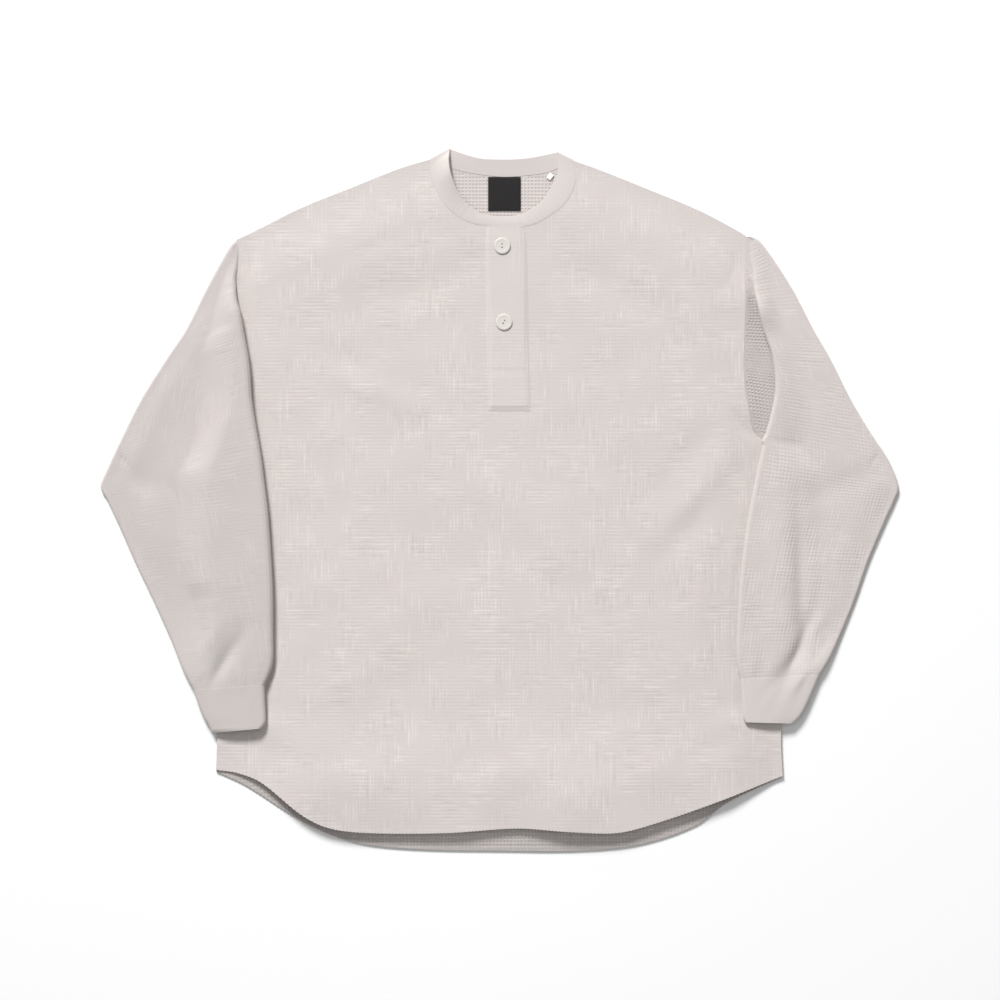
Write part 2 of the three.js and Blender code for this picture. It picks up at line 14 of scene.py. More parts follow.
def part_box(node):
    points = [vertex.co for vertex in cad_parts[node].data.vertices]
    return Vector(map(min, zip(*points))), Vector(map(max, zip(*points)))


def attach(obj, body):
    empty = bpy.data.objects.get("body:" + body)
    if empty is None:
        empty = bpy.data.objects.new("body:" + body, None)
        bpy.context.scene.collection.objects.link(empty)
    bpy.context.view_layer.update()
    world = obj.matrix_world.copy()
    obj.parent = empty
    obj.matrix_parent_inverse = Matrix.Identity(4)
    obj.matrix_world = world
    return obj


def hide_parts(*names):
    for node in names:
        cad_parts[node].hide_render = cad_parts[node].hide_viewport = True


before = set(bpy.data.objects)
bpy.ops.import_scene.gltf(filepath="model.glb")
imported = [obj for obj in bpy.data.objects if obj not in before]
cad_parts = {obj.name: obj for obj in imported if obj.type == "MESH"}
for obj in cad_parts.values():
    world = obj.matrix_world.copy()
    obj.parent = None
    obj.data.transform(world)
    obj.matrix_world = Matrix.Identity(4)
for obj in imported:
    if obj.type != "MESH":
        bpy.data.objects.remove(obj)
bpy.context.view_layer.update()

bl_info = {
    "name": "Thermal top laid flat",
    "version": (1, 0, 0),
    "blender": (4, 5, 0),
    "location": "View3D > Sidebar > Thermal top",
    "description": "Dresses a flat-laid waffle-knit thermal top",
    "category": "Object",
}

# Tables and constants are in millimetres, meshes in metres
MM = 0.001

# Cloth walls and the gaps between sewn pieces
WALL = 2.0
SEAM = 0.3
SEAM_LAP = 0.4
SEAM_STEP = 0.2
ARMPIT_SEAM = 0.4
CUFF_LAP = 0.3
PLACKET_WALL = 0.9
PLACKET_EASE = 0.1
LABEL_WALL = 0.7

# Heights of the middle of each panel, and how the front panel lifts off the back
BACK_LEVEL = WALL / 2
FRONT_LEVEL = BACK_LEVEL + WALL + SEAM
HALF_CHEST = 325
SIDE_EASE = 50
ARMHOLE_EASE = 24
LOW_SIDE_EASE = 70
CUFF_END = -262
CUFF_FADE = 30
SHOULDER_EASE = 70
FRONT_LIFT = 3.4
VALLEY_WIDTH = 11
VALLEY_SHARE = 0.75
BACK_HEM_LIFT = 2.4
BACK_HEM_SLOPE = 24
BACK_HEM_REACH = 90
HEM_LIFT = 6.8
HEM_ROLL = 4.4
# Painted shade: how far above the back hem its colour is darkened, and how much the inside attribute darkens a
# colour
HEM_SHADE_REACH = 18
INSIDE_SHADE = 0.15
HEM_ROLL_REACH = 72
HEM_EASE_FROM = -230
HEM_EASE_TO = -370
HEM_CURL_REACH = 90
HEM_CURL_SIDE = 330
BAND_LIFT = -0.8
BAND_BACK_LIFT = 1.3
BAND_CROWN = 0.3
BAND_GAPE = 8.0
BAND_GAPE_AT = 0.19
BAND_GAPE_SPAN = 0.16
BAND_SINK = 0.12
BAND_SINK_WIDTH = 0.12
BAND_FOLD_OUT = 0.3

# Sleeve and cuff sections: radii of the middle of the wall where it folds, and heights
TUCK_RADIUS = 1.3
LEAST_LAP_RADIUS = 2.2
EDGE_RADIUS = 1.8
CUFF_EDGE_RADIUS = 3.6
CUFF_SLOPE = 1.5
CUFF_CROWN = 1.2
SLEEVE_PUFF = 0.7
NARROW_SECTION = 8.6
FOOT_RADIUS = 1.5
SIDE_SEAM_HEIGHT = 2.8
TUCK_LEVEL = 5.9
TUCK_START = 1
TUCK_DEPTH = 12
LEAST_TUCK = 0.5
SLEEVE_LEVEL = 6.4
SLEEVE_EASE_IN = 45
SLEEVE_EASE_OUT = 35
FULL_WIDTH = 120
FOLD_FREE_EDGE = 14
ARMPIT = 9
GRAIN_PLACE = 0.35
RECESS_DEPTH = 3.0

Point = namedtuple("Point", "x y")
NeckRow = namedtuple("NeckRow", "at seam_x seam_y free_x free_y")
Section = namedtuple("Section", "outer_x outer_y fold_x fold_y turn")
Fold = namedtuple("Fold", "x y turn long wide rise")
Lie = namedtuple("Lie", "lap cuff_lap start end")
Wave = namedtuple("Wave", "length turn phase rise")

# Body outline: hems from side to side, shoulders from armhole to neck, armholes from hem to shoulder
HEM_FRONT = [
    Point(-326, -311), Point(-300, -315), Point(-273, -326), Point(-228, -362), Point(-198, -377),
    Point(-154, -383), Point(-60, -383), Point(20, -378), Point(85, -382), Point(134, -383),
    Point(170, -375), Point(244, -350), Point(326, -318),
]
HEM_BACK = [
    Point(-326, -313), Point(-292, -329), Point(-228, -370), Point(-191, -387), Point(-154, -397),
    Point(-90, -402.6), Point(0, -404.2), Point(91, -404.2), Point(161, -397), Point(226, -375),
    Point(262, -349), Point(326, -319),
]
SHOULDER_LEFT = [
    Point(-303, 298.4), Point(-275, 312), Point(-229, 335), Point(-172, 358), Point(-114, 381),
    Point(-79, 391.5),
]
SHOULDER_RIGHT = [
    Point(84.5, 390), Point(115.6, 379), Point(173, 356), Point(230.6, 332), Point(276.6, 307.6),
    Point(283.5, 303),
]
ARMHOLE_LEFT = [
    Point(-326, -313), Point(-325, -276), Point(-325, 0), Point(-325, 34), Point(-318, 52),
    Point(-311, 71), Point(-303, 97), Point(-298.5, 126), Point(-297.5, 160), Point(-299.5, 195),
    Point(-302, 229), Point(-300.3, 270), Point(-299.8, 286), Point(-303, 298.4),
]
ARMHOLE_RIGHT = [
    Point(326, -319), Point(324, -276), Point(324.5, 0), Point(325, 34), Point(316, 52),
    Point(304, 67), Point(292, 80), Point(286, 106), Point(282, 129), Point(281, 172),
    Point(283, 229), Point(282.5, 258), Point(284.5, 285), Point(283.5, 303),
]

# Neck band from its left fold to its right fold: the seam to the panel and the free edge
NECK_FRONT = [
    NeckRow(0, -79, 391.5, -57, 403.4), NeckRow(0.12, -77.5, 370, -58, 387),
    NeckRow(0.25, -69.5, 350, -54, 369), NeckRow(0.36, -55, 331.5, -44, 348),
    NeckRow(0.46, -30, 317.5, -22, 329.5), NeckRow(0.52, 2, 314, 1, 325.7),
    NeckRow(0.6, 35, 315.5, 24, 328), NeckRow(0.7, 60, 328, 45, 340.5),
    NeckRow(0.8, 77, 343, 58, 357), NeckRow(0.9, 87.5, 366, 67, 378),
    NeckRow(1, 84.5, 390, 66, 399.4),
]
NECK_BACK = [
    NeckRow(0, -79, 391.5, -57, 403.4), NeckRow(0.2, -50.5, 380.1, -40, 397.3),
    NeckRow(0.35, -26, 374.9, -21, 392.4), NeckRow(0.5, 3, 371.6, 4, 391.3),
    NeckRow(0.65, 30, 373, 28, 392.3), NeckRow(0.8, 56, 377, 48, 395.6),
    NeckRow(1, 84.5, 390, 66, 399.4),
]

# Sleeve sections from the shoulder down: outer edge, inner fold, and how far the wall turns back there
SLEEVE_LEFT = [
    Section(-304.8, 297.0, -301.0, 295.4, 14),
    Section(-308.8, 292.6, -300.2, 290.4, 22), Section(-319.1, 275.4, -299.6, 273.1, 42),
    Section(-337.5, 240.9, -301.9, 249, 84), Section(-360.5, 194.9, -295.6, 220.2, 150),
    Section(-383.5, 160.4, -292.3, 188, 180), Section(-412.3, 114.4, -286.9, 155.8, 180),
    Section(-435.3, 68.4, -284, 115.6, 180), Section(-451.4, 33.9, -278.9, 82.2, 180),
    Section(-458.9, 14.4, -273.1, 47.7, 180), Section(-451.4, -0.6, -269.7, 20.1, 180),
    Section(-436.4, -32.8, -265.7, -12.1, 180), Section(-420.3, -69.6, -262.8, -52.3, 180),
    Section(-398.5, -115.6, -260, -104.1, 180), Section(-377.8, -161.6, -259.7, -152.4, 180),
    Section(-364, -196.1, -260.5, -189.2, 180), Section(-351.9, -219.1, -269.7, -213.3, 180),
]
SLEEVE_RIGHT = [
    Section(290.2, 301.4, 282.6, 302.6, 14),
    Section(298.9, 297.6, 287.0, 294.0, 26), Section(313.4, 278.9, 287.5, 266.2, 60),
    Section(337.5, 240.9, 290.4, 234, 120), Section(361.3, 194.9, 302.5, 197.2, 180),
    Section(381.2, 160.4, 313.4, 163.9, 180), Section(404.2, 114.4, 316.8, 128.2, 180),
    Section(426.1, 77.6, 311.1, 96, 180), Section(447.9, 44.3, 303.6, 68.4, 180),
    Section(458.9, 15.5, 296.7, 37.4, 180), Section(454.8, -0.6, 291.5, 10.9, 180),
    Section(444.5, -23.6, 286.4, -14.4, 180), Section(424.9, -69.6, 279.2, -63.8, 180),
    Section(408.8, -115.6, 274.6, -113.3, 180), Section(390.4, -160.4, 272, -162.7, 180),
    Section(378.4, -185.7, 273.1, -189.2, 180), Section(368.6, -201.8, 276.6, -206.4, 180),
]
CUFF_LEFT = [
    Section(-351.9, -219.1, -269.7, -213.3, 180), Section(-346.7, -235.2, -269, -230.6, 180),
    Section(-341, -249, -268.1, -246.7, 180), Section(-334.7, -259.3, -268.5, -257, 180),
    Section(-330.6, -268, -273.1, -262.8, 180),
]
CUFF_RIGHT = [
    Section(368.6, -201.8, 276.6, -206.4, 180), Section(362.3, -216.8, 278.1, -221.4, 180),
    Section(354.8, -234, 278.9, -237.5, 180), Section(347.3, -247.8, 280, -250.1, 180),
    Section(338.1, -257.6, 282.3, -255.9, 180),
]

# How each sleeve lies: radius of its inner fold, the same on the cuff, and the cuff's lift at both ends
LIE_LEFT = Lie(5.8, 4.0, 0.6, 2.2)
LIE_RIGHT = Lie(3.0, 2.1, 0.2, 0.5)

# Soft folds: place, direction, half length, half width and height (below zero for a trough)
FRONT_FOLDS = [
    Fold(235, 14, 45, 62, 15, 1.3), Fold(213, 47, 45, 55, 16, -1.0), Fold(216, -38, 47, 60, 17, -1.1),
    Fold(-225, 190, -60, 40, 16, -1.1), Fold(-172, 156, -40, 34, 14, -1.3), Fold(-129, 121, -28, 42, 15, 1.2),
    Fold(-191, 118, -53, 50, 18, -0.9), Fold(-86, 242, 12, 62, 22, -1.1), Fold(-140, 276, 24, 40, 18, 0.7),
    Fold(121, 248, -18, 52, 22, -1.1), Fold(185, 214, -35, 46, 20, -1.2), Fold(208, 176, -50, 36, 18, -0.7),
    Fold(249, -285, 22, 52, 16, -1.3), Fold(-257, -293, -20, 42, 16, -1.1), Fold(238, 4, 60, 26, 12, -0.5),
    Fold(-37, -330, 84, 45, 26, -1.0), Fold(52, -330, 95, 45, 24, 0.8), Fold(142, -338, 100, 42, 24, -1.0),
    Fold(-150, -320, 70, 40, 24, 0.8), Fold(-3, -156, 90, 120, 6, 0.4), Fold(-60, -60, 20, 80, 30, -0.6),
    Fold(90, -120, -35, 90, 30, -0.6), Fold(-150, -180, 40, 80, 28, 0.6), Fold(150, -220, -60, 70, 26, 0.6),
]
HEM_CURLS = [
    Fold(-150, -383, 0, 80, 80, 0.8), Fold(-40, -383, 0, 60, 80, 2.2), Fold(74, -380, 0, 38, 80, 4.6),
    Fold(140, -380, 0, 50, 80, 3.0), Fold(-235, -360, -30, 40, 60, 1.6), Fold(235, -352, 25, 40, 60, 1.4),
]
SLEEVE_FOLDS = [
    Fold(-404, 18, -20, 42, 14, -0.9), Fold(-352, 92, 62, 60, 18, 0.1), Fold(-318, -189, 67, 34, 9, -1.1),
    Fold(-344, -205, 70, 16, 7, -0.9), Fold(-288, -192, 98, 26, 9, -0.8), Fold(400, 20, 24, 44, 14, -0.9),
    Fold(366, 96, -60, 58, 18, 0.2), Fold(346, -82, 90, 42, 12, -1.5), Fold(350, -163, 73, 38, 7.5, -2.1),
    Fold(363, -180, 51, 26, 8, -1.0), Fold(303, -186, 84, 24, 9, -0.7), Fold(-309, -176, 57, 30, 8.5, -1.7),
    Fold(-322, -196, 57, 24, 6, -1.2), Fold(-346, -204, 60, 14, 5, 0.9), Fold(-433, 46, -58, 13, 2.2, -0.9),
    Fold(333, -190, 50, 36, 8, -2.2), Fold(340, -178, 70, 24, 5, -1.6), Fold(357, -160, 60, 30, 6, 1.2),
    Fold(290, -196, 80, 16, 6, 0.6), Fold(330, -206, 64, 30, 8, -1.6),
    Fold(433, 48, 58, 12, 2.4, -0.7), Fold(-296, -204, 95, 14, 5, 0.7),
    Fold(346, -100, 92, 95, 8, -2.2), Fold(320, -95, 91, 95, 13, 1.1), Fold(-395, 50, 62, 60, 22, -1.2),
    Fold(-330, -160, 60, 28, 9, 1.2), Fold(347, -205, 55, 16, 5, 1.1), Fold(-268, -60, 88, 90, 10, 0.8),
]
WAVES = [
    Wave(173, 12, 0.4, 0.16), Wave(127, 78, 1.9, 0.14), Wave(96, -33, 2.6, 0.12), Wave(71, 51, 0.9, 0.10),
    Wave(54, -71, 4.1, 0.08), Wave(43, 24, 5.2, 0.06),
]

# Placket, buttons, labels
PLACKET = {"top": 314.2, "bottom": 101.1, "left": (-16.8, -13.2), "right": (30.8, 36.2), "box_line": 146.2}
BUTTONS = {"button_upper": (3.1, 291.5, 90), "button_lower": (5.2, 203.9, 60)}
LABEL = {"left": -13.0, "right": 24.3, "bottom": 332.2, "top": 371.2}
BUTTON_THIN = 0.55
BUTTON_EASE = 0.1
CARE_TAB = {"x": 58.2, "y": 371.6, "wide": 5.6, "long": 7.4, "turn": -34.0}


class TopSettings(bpy.types.PropertyGroup):
    """Sizes and colours of the cloth, the trims and the stage."""

    waffle_pitch: FloatProperty(
        name="Waffle pitch", description="Distance from one waffle cell to the next", default=0.004,
        unit="LENGTH")
    waffle_depth: FloatProperty(
        name="Waffle depth", description="How far a waffle cell sinks", default=0.00013, unit="LENGTH")
    waffle_uneven: FloatProperty(
        name="Waffle unevenness", description="Share by which cells differ in depth", default=0.35,
        subtype="FACTOR")
    rib_pitch: FloatProperty(
        name="Rib pitch", description="Distance from one rib to the next", default=0.0017, unit="LENGTH")
    rib_depth: FloatProperty(
        name="Rib depth", description="Height of a rib over its valley", default=0.0001, unit="LENGTH")
    stitch_pitch: FloatProperty(
        name="Stitch pitch", description="Distance from one stitch to the next", default=0.0031,
        unit="LENGTH")
    stitch_length: FloatProperty(
        name="Stitch length", description="Length of one stitch", default=0.0023, unit="LENGTH")
    stitch_thick: FloatProperty(
        name="Thread thickness", description="Thickness of the sewing thread", default=0.00045, unit="LENGTH")
    seed: IntProperty(name="Seed", description="Seed of all unevenness", default=7)
    cloth_colour: FloatVectorProperty(
        name="Waffle colour", description="Off-white of the waffle knit", subtype="COLOR", size=3,
        default=(0.549, 0.504, 0.483))
    # Painted shade: the sleeves and cuffs are darkened in colour below the body's, the left side more, standing
    # in for the shade on them
    left_painted_shade: FloatProperty(
        name="Left sleeve shade", description="Tone of the left sleeve and cuff beside the body's",
        default=0.90)
    right_painted_shade: FloatProperty(
        name="Right sleeve shade", description="Tone of the right sleeve and cuff beside the body's",
        default=0.965)
    placket_shade: FloatProperty(
        name="Placket shade", description="Tone of the placket beside the body's", default=1.02)
    rib_colour: FloatVectorProperty(
        name="Rib colour", description="Off-white of the rib trims", subtype="COLOR", size=3,
        default=(0.564, 0.519, 0.497))
    button_colour: FloatVectorProperty(
        name="Button colour", description="Pale shell of the buttons", subtype="COLOR", size=3,
        default=(0.60, 0.568, 0.535))
    label_colour: FloatVectorProperty(
        name="Label colour", description="Black of the bare neck label", subtype="COLOR", size=3,
        default=(0.013, 0.0115, 0.0125))
    floor_colour: FloatVectorProperty(
        name="Floor colour", description="Pale floor", subtype="COLOR", size=3, default=(0.84, 0.84, 0.84))
    key_power: FloatProperty(
        name="Key light", description="Power of the large soft light", default=2585.0, subtype="POWER")
    fill_power: FloatProperty(
        name="Overhead light", description="Power of the soft light above the middle", default=0.63,
        subtype="POWER")
    sky_strength: FloatProperty(
        name="Sky strength", description="Strength of the even white sky", default=0.40)


def soft(value):
    """An ease from 0 to 1 with level ends."""
    t = np.clip(value, 0, 1)
    return t * t * (3 - 2 * t)


def lerp(start, end, part):
    return start + (end - start) * part


def through(table, key=None):
    """A smooth curve through a table's rows, with every column worked out from the key column or row number."""
    kind = type(table[0])
    columns = [np.array([getattr(row, name) for row in table], float) for name in kind._fields]
    rows = np.arange(len(table))
    keys = rows.astype(float) if key is None else columns[kind._fields.index(key)]
    before = np.maximum(rows - 1, 0)
    after = np.minimum(rows + 1, len(table) - 1)

    def at(value):
        value = np.asarray(value, float)
        row = np.clip(np.searchsorted(keys, value) - 1, 0, len(table) - 2)
        span = keys[row + 1] - keys[row]
        t = np.clip((value - keys[row]) / span, 0, 1)
        result = []
        for column in columns:
            slope = (column[after] - column[before]) / (keys[after] - keys[before])
            result.append(
                column[row] * (2 * t**3 - 3 * t**2 + 1)
                + slope[row] * span * (t**3 - 2 * t**2 + t)
                + column[row + 1] * (3 * t**2 - 2 * t**3)
                + slope[row + 1] * span * (t**3 - t**2)
            )
        return kind(*result)

    return at


def ripple(folds, x, y):
    """Height that soft folds add at a point."""
    height = 0
    for fold in folds:
        turn = math.radians(fold.turn)
        along = (x - fold.x) * math.cos(turn) + (y - fold.y) * math.sin(turn)
        across = (y - fold.y) * math.cos(turn) - (x - fold.x) * math.sin(turn)
        height = height + fold.rise * np.exp(-((along / fold.long) ** 2) - (across / fold.wide) ** 2)
    return height


def waves(x, y):
    """Low swells all over the cloth, none of one size."""
    height = 0
    for wave in WAVES:
        turn = math.radians(wave.turn)
        distance = x * math.cos(turn) + y * math.sin(turn)
        height = height + wave.rise * np.sin(2 * math.pi * distance / wave.length + wave.phase)
    return height


armhole_left = through(ARMHOLE_LEFT, "y")
armhole_right = through(ARMHOLE_RIGHT, "y")
shoulder_left = through(SHOULDER_LEFT, "x")
shoulder_right = through(SHOULDER_RIGHT, "x")
hem_front = through(HEM_FRONT, "x")
hem_back = through(HEM_BACK, "x")
neck_front = through(NECK_FRONT, "at")
neck_back = through(NECK_BACK, "at")


def shoulder_line(x):
    """The shoulder line's height in plan at any x, carried level across the neck."""
    return np.where(x < 0, shoulder_left(x).y, shoulder_right(x).y)


LEFT_FOLD = [(row.fold_y, row.fold_x) for row in reversed(SLEEVE_LEFT[1:] + CUFF_LEFT[1:])]
RIGHT_FOLD = [(row.fold_y, row.fold_x) for row in reversed(SLEEVE_RIGHT[1:] + CUFF_RIGHT[1:])]


def fold_line(line, y):
    """Where a sleeve's inner fold lies over the front panel at any height in plan."""
    places = np.array(line)
    return np.interp(y, places[:, 0], places[:, 1])


def front_level(x, y):
    """Height of the middle of the front panel's wall."""
    beside = np.where(x < 0, x - fold_line(LEFT_FOLD, y), fold_line(RIGHT_FOLD, y) - x)
    share = np.where(x < 0, VALLEY_SHARE, VALLEY_SHARE / 3)
    from_side = lerp(soft(beside / SIDE_EASE), soft(beside / VALLEY_WIDTH), share)
    below = soft((CUFF_END + CUFF_FADE - y) / CUFF_FADE)
    from_side = lerp(from_side, soft((HALF_CHEST - np.abs(x)) / LOW_SIDE_EASE), below)
    from_seam = np.where(x < 0, x - armhole_left(y).x, armhole_right(y).x - x)
    at_recess = soft((y - 70) / 40) * soft((285 - y) / 60) * (x > 0)
    from_side = np.maximum(from_side * soft(from_seam / ARMHOLE_EASE), at_recess)
    from_shoulder = soft((shoulder_line(x) - y) / SHOULDER_EASE)
    to_hem = soft((HEM_EASE_FROM - y) / (HEM_EASE_FROM - HEM_EASE_TO))
    lift = FRONT_LIFT + HEM_LIFT * to_hem + ripple(FRONT_FOLDS, x, y) + waves(x, y)
    curl = ripple(HEM_CURLS, x, y) * soft((hem_front(x).y + HEM_CURL_REACH - y) / HEM_CURL_REACH)
    roll = HEM_ROLL * (1 - soft((y - hem_front(x).y) / HEM_ROLL_REACH))
    curl = (curl - roll) * soft((HEM_CURL_SIDE - np.abs(x)) / SIDE_EASE / 2)
    return FRONT_LEVEL + from_side * from_shoulder * lift + curl


def back_level(x, y):
    """Height of the middle of the back panel's wall, which lifts a little above its hem."""
    reach = y - hem_back(x).y
    near_hem = soft((BACK_HEM_REACH - reach) / (BACK_HEM_REACH / 2))
    lift = BACK_HEM_LIFT * soft(reach / BACK_HEM_SLOPE) * near_hem
    return BACK_LEVEL + lift * soft((250 - np.abs(x)) / 90)


def unit(vectors):
    return vectors / np.maximum(np.linalg.norm(vectors, axis=-1, keepdims=True), 1e-12)


def make_piece(name, points, faces, grain=None, smooth=False, attributes=None, rims=0):
    """A mesh object from points in millimetres. Grain is each corner's place on the flat cloth.

    The last faces, as many as rims, are the narrow ones round a wall's edges, which stay crisp.
    """
    mesh = bpy.data.meshes.new(name)
    mesh.from_pydata((np.asarray(points) * MM).tolist(), [], faces)
    if grain is not None:
        layer = mesh.uv_layers.new(name="grain")
        layer.data.foreach_set("uv", (np.asarray(grain, np.float32) * MM).ravel())
    mesh.polygons.foreach_set("use_smooth", [smooth] * (len(mesh.polygons) - rims) + [False] * rims)
    for label, values in (attributes or {}).items():
        attribute = mesh.attributes.new(label, "FLOAT", "POINT")
        attribute.data.foreach_set("value", np.asarray(values, np.float32))
    mesh.update()
    piece = bpy.data.objects.new(name, mesh)
    bpy.context.scene.collection.objects.link(piece)
    return piece


def cloth_wall(name, points, quads, triangles, cells, grain, thickness, smooth=False, rib=None, inside=None):
    """A closed wall of cloth over a mesh of points along its middle.

    Faces turn anticlockwise seen from the cloth's outer side. Quads marked as cells get a middle point on that
    side, which the waffle relief sinks by the cell's number. Rib is each point's count of ribs along the cloth,
    and inside is painted shade: it darkens the colour where the cloth lies in shade, inside a fold or under the
    front hem.
    """
    points = np.asarray(points, float)
    quads = np.asarray(quads, int).reshape(-1, 4)
    triangles = np.asarray(triangles, int).reshape(-1, 3)
    depths = np.asarray(cells, float)
    cells = depths > 0
    grain = np.asarray(grain, float)
    places, first, welded = np.unique(np.round(points, 3), axis=0, return_index=True, return_inverse=True)
    welded = welded.ravel()
    middle = points[first]
    count = len(middle)

    quads_at = welded[quads]
    triangles_at = welded[triangles]
    whole = np.array([len(set(row)) == 3 for row in triangles_at.tolist()], bool)
    triangles = triangles[whole]
    triangles_at = triangles_at[whole]

    normals = np.zeros((count, 3))
    corners = middle[quads_at]
    quad_normals = unit(np.cross(corners[:, 2] - corners[:, 0], corners[:, 3] - corners[:, 1]))
    for corner in range(4):
        np.add.at(normals, quads_at[:, corner], quad_normals)
    corners = middle[triangles_at]
    triangle_normals = unit(np.cross(corners[:, 1] - corners[:, 0], corners[:, 2] - corners[:, 0]))
    for corner in range(3):
        np.add.at(normals, triangles_at[:, corner], triangle_normals)
    normals = unit(normals)

    outer = middle + normals * thickness / 2
    inner = middle - normals * thickness / 2
    pits = outer[quads_at[cells]].mean(axis=1)
    vertices = np.vstack([outer, inner, pits])

    faces = []
    uvs = []
    for index, (face, source) in enumerate(zip(quads_at.tolist(), quads.tolist())):
        if not cells[index]:
            faces.append(face)
            uvs.extend(grain[source])
    pit = 2 * count
    for face, source in zip(quads_at[cells].tolist(), quads[cells].tolist()):
        centre = grain[source].mean(axis=0)
        for corner in range(4):
            following = (corner + 1) % 4
            faces.append((face[corner], face[following], pit))
            uvs.extend((grain[source[corner]], grain[source[following]], centre))
        pit += 1
    for face, source in zip(triangles_at.tolist(), triangles.tolist()):
        faces.append(face)
        uvs.extend(grain[source])
    for side, origin in ((quads_at, quads), (triangles_at, triangles)):
        for face, source in zip(side.tolist(), origin.tolist()):
            faces.append([index + count for index in reversed(face)])
            uvs.extend(grain[list(reversed(source))])

    edges = {}
    for side, origin in ((quads_at, quads), (triangles_at, triangles)):
        for face, source in zip(side.tolist(), origin.tolist()):
            for corner in range(len(face)):
                following = (corner + 1) % len(face)
                edges[face[corner], face[following]] = (source[corner], source[following])
    sides = len(faces)
    for (start, end), (source, target) in edges.items():
        if (end, start) not in edges:
            faces.append((end, start, start + count, end + count))
            uvs.extend((grain[target], grain[source], grain[source], grain[target]))

    marks = np.zeros(len(vertices))
    marks[2 * count:] = depths[cells]
    shown = np.zeros(len(vertices))
    shown[:count] = 1
    attributes = {"pit": marks, "outer": shown}
    if rib is not None:
        ribs = np.asarray(rib, float)[first]
        attributes["rib"] = np.concatenate([ribs, ribs, np.zeros(len(pits))])
    # Painted shade: the inside attribute darkens the colour of cloth lying in shade
    if inside is not None:
        painted_shade_values = np.asarray(inside, float)[first]
        attributes["inside"] = np.concatenate([painted_shade_values, painted_shade_values, painted_shade_values[quads_at[cells]].mean(axis=1)])
    return make_piece(name, vertices, faces, uvs, smooth, attributes, len(faces) - sides)


def crossings(outline, y):
    """Where a closed outline crosses a level line, from left to right."""
    x0, y0 = outline.T
    x1, y1 = np.roll(outline, -1, axis=0).T
    hit = (y0 <= y) != (y1 <= y)
    return np.sort(x0[hit] + (y - y0[hit]) * (x1[hit] - x0[hit]) / (y1[hit] - y0[hit]))


def trimmed_lattice(outline, pitch, clear=0.3):
    """Square waffle cells inside an outline, and the triangles between them and the outline's points."""
    outline = np.asarray(outline, float)
    low = np.floor(outline.min(axis=0) / pitch).astype(int)
    high = np.ceil(outline.max(axis=0) / pitch).astype(int)
    columns = np.arange(low[0], high[0] + 1)
    rows = np.arange(low[1], high[1] + 1)
    inside = np.zeros((len(rows), len(columns)), bool)
    for index, row in enumerate(rows):
        y = row * pitch
        x = columns * pitch
        within = np.searchsorted(crossings(outline, y), x) % 2 == 1
        near = outline[np.abs(outline[:, 1] - y) < pitch]
        if len(near):
            gap = np.hypot(near[:, 0][None, :] - x[:, None], near[:, 1][None, :] - y).min(axis=1)
            within &= gap > clear * pitch
        inside[index] = within
    kept = inside[:-1, :-1] & inside[1:, :-1] & inside[:-1, 1:] & inside[1:, 1:]
    ids = np.full(inside.shape, -1)
    used = np.zeros(inside.shape, bool)
    for shift_row in (0, 1):
        for shift_column in (0, 1):
            used[shift_row:shift_row + kept.shape[0], shift_column:shift_column + kept.shape[1]] |= kept
    ids[used] = np.arange(used.sum())
    grid_y, grid_x = np.nonzero(used)
    lattice = np.stack([columns[grid_x] * pitch, rows[grid_y] * pitch], axis=1).astype(float)
    row, column = np.nonzero(kept)
    quads = np.stack([ids[row, column], ids[row, column + 1], ids[row + 1, column + 1], ids[row + 1, column]],
        axis=1)

    edges = set()
    for quad in quads.tolist():
        for corner in range(4):
            edges.add((quad[corner], quad[(corner + 1) % 4]))
    stairs = [edge for edge in edges if (edge[1], edge[0]) not in edges]
    stairs.sort()
    rim_ids = sorted({index for edge in stairs for index in edge})
    place = {index: number for number, index in enumerate(rim_ids)}
    points = [Vector(point) for point in lattice[rim_ids]] + [Vector(point) for point in outline]
    base = len(rim_ids)
    lines = [(place[a], place[b]) for a, b in stairs]
    lines += [(base + index, base + (index + 1) % len(outline)) for index in range(len(outline))]
    found, _, filled, sources, _, _ = delaunay_2d_cdt(points, lines, [], 1, 1e-7)
    own = [source[0] for source in sources]
    to_all = rim_ids + [len(lattice) + index for index in range(len(outline))]
    everything = np.vstack([lattice, outline])
    triangles = []
    for face in filled:
        triangle = [to_all[own[index]] for index in face]
        corners = everything[triangle]
        centre = corners.mean(axis=0)
        cell = np.floor(centre / pitch).astype(int) - low
        if 0 <= cell[1] < kept.shape[0] and 0 <= cell[0] < kept.shape[1] and kept[cell[1], cell[0]]:
            continue
        first, second = corners[1] - corners[0], corners[2] - corners[0]
        area = first[0] * second[1] - first[1] * second[0]
        if abs(area) < 1e-6:
            continue
        triangles.append(triangle if area > 0 else triangle[::-1])
    return everything, quads, np.array(triangles, int), np.ones(len(quads), bool)


def spaced(curve, start, end, spacing, fields=("x", "y")):
    """Points along a smooth curve between two keys, about one spacing apart, without the last one."""
    fine = curve(np.linspace(start, end, 400))
    line = np.stack([getattr(fine, fields[0]), getattr(fine, fields[1])], axis=1)
    return respaced(line, spacing)[:-1]


def respaced(line, spacing):
    """A polyline's points moved to even distances along it."""
    steps = np.linalg.norm(np.diff(line, axis=0), axis=1)
    along = np.concatenate([[0], np.cumsum(steps)])
    count = max(int(round(along[-1] / spacing)), 1)
    marks = np.linspace(0, along[-1], count + 1)
    return np.stack([np.interp(marks, along, line[:, axis]) for axis in range(line.shape[1])], axis=1)


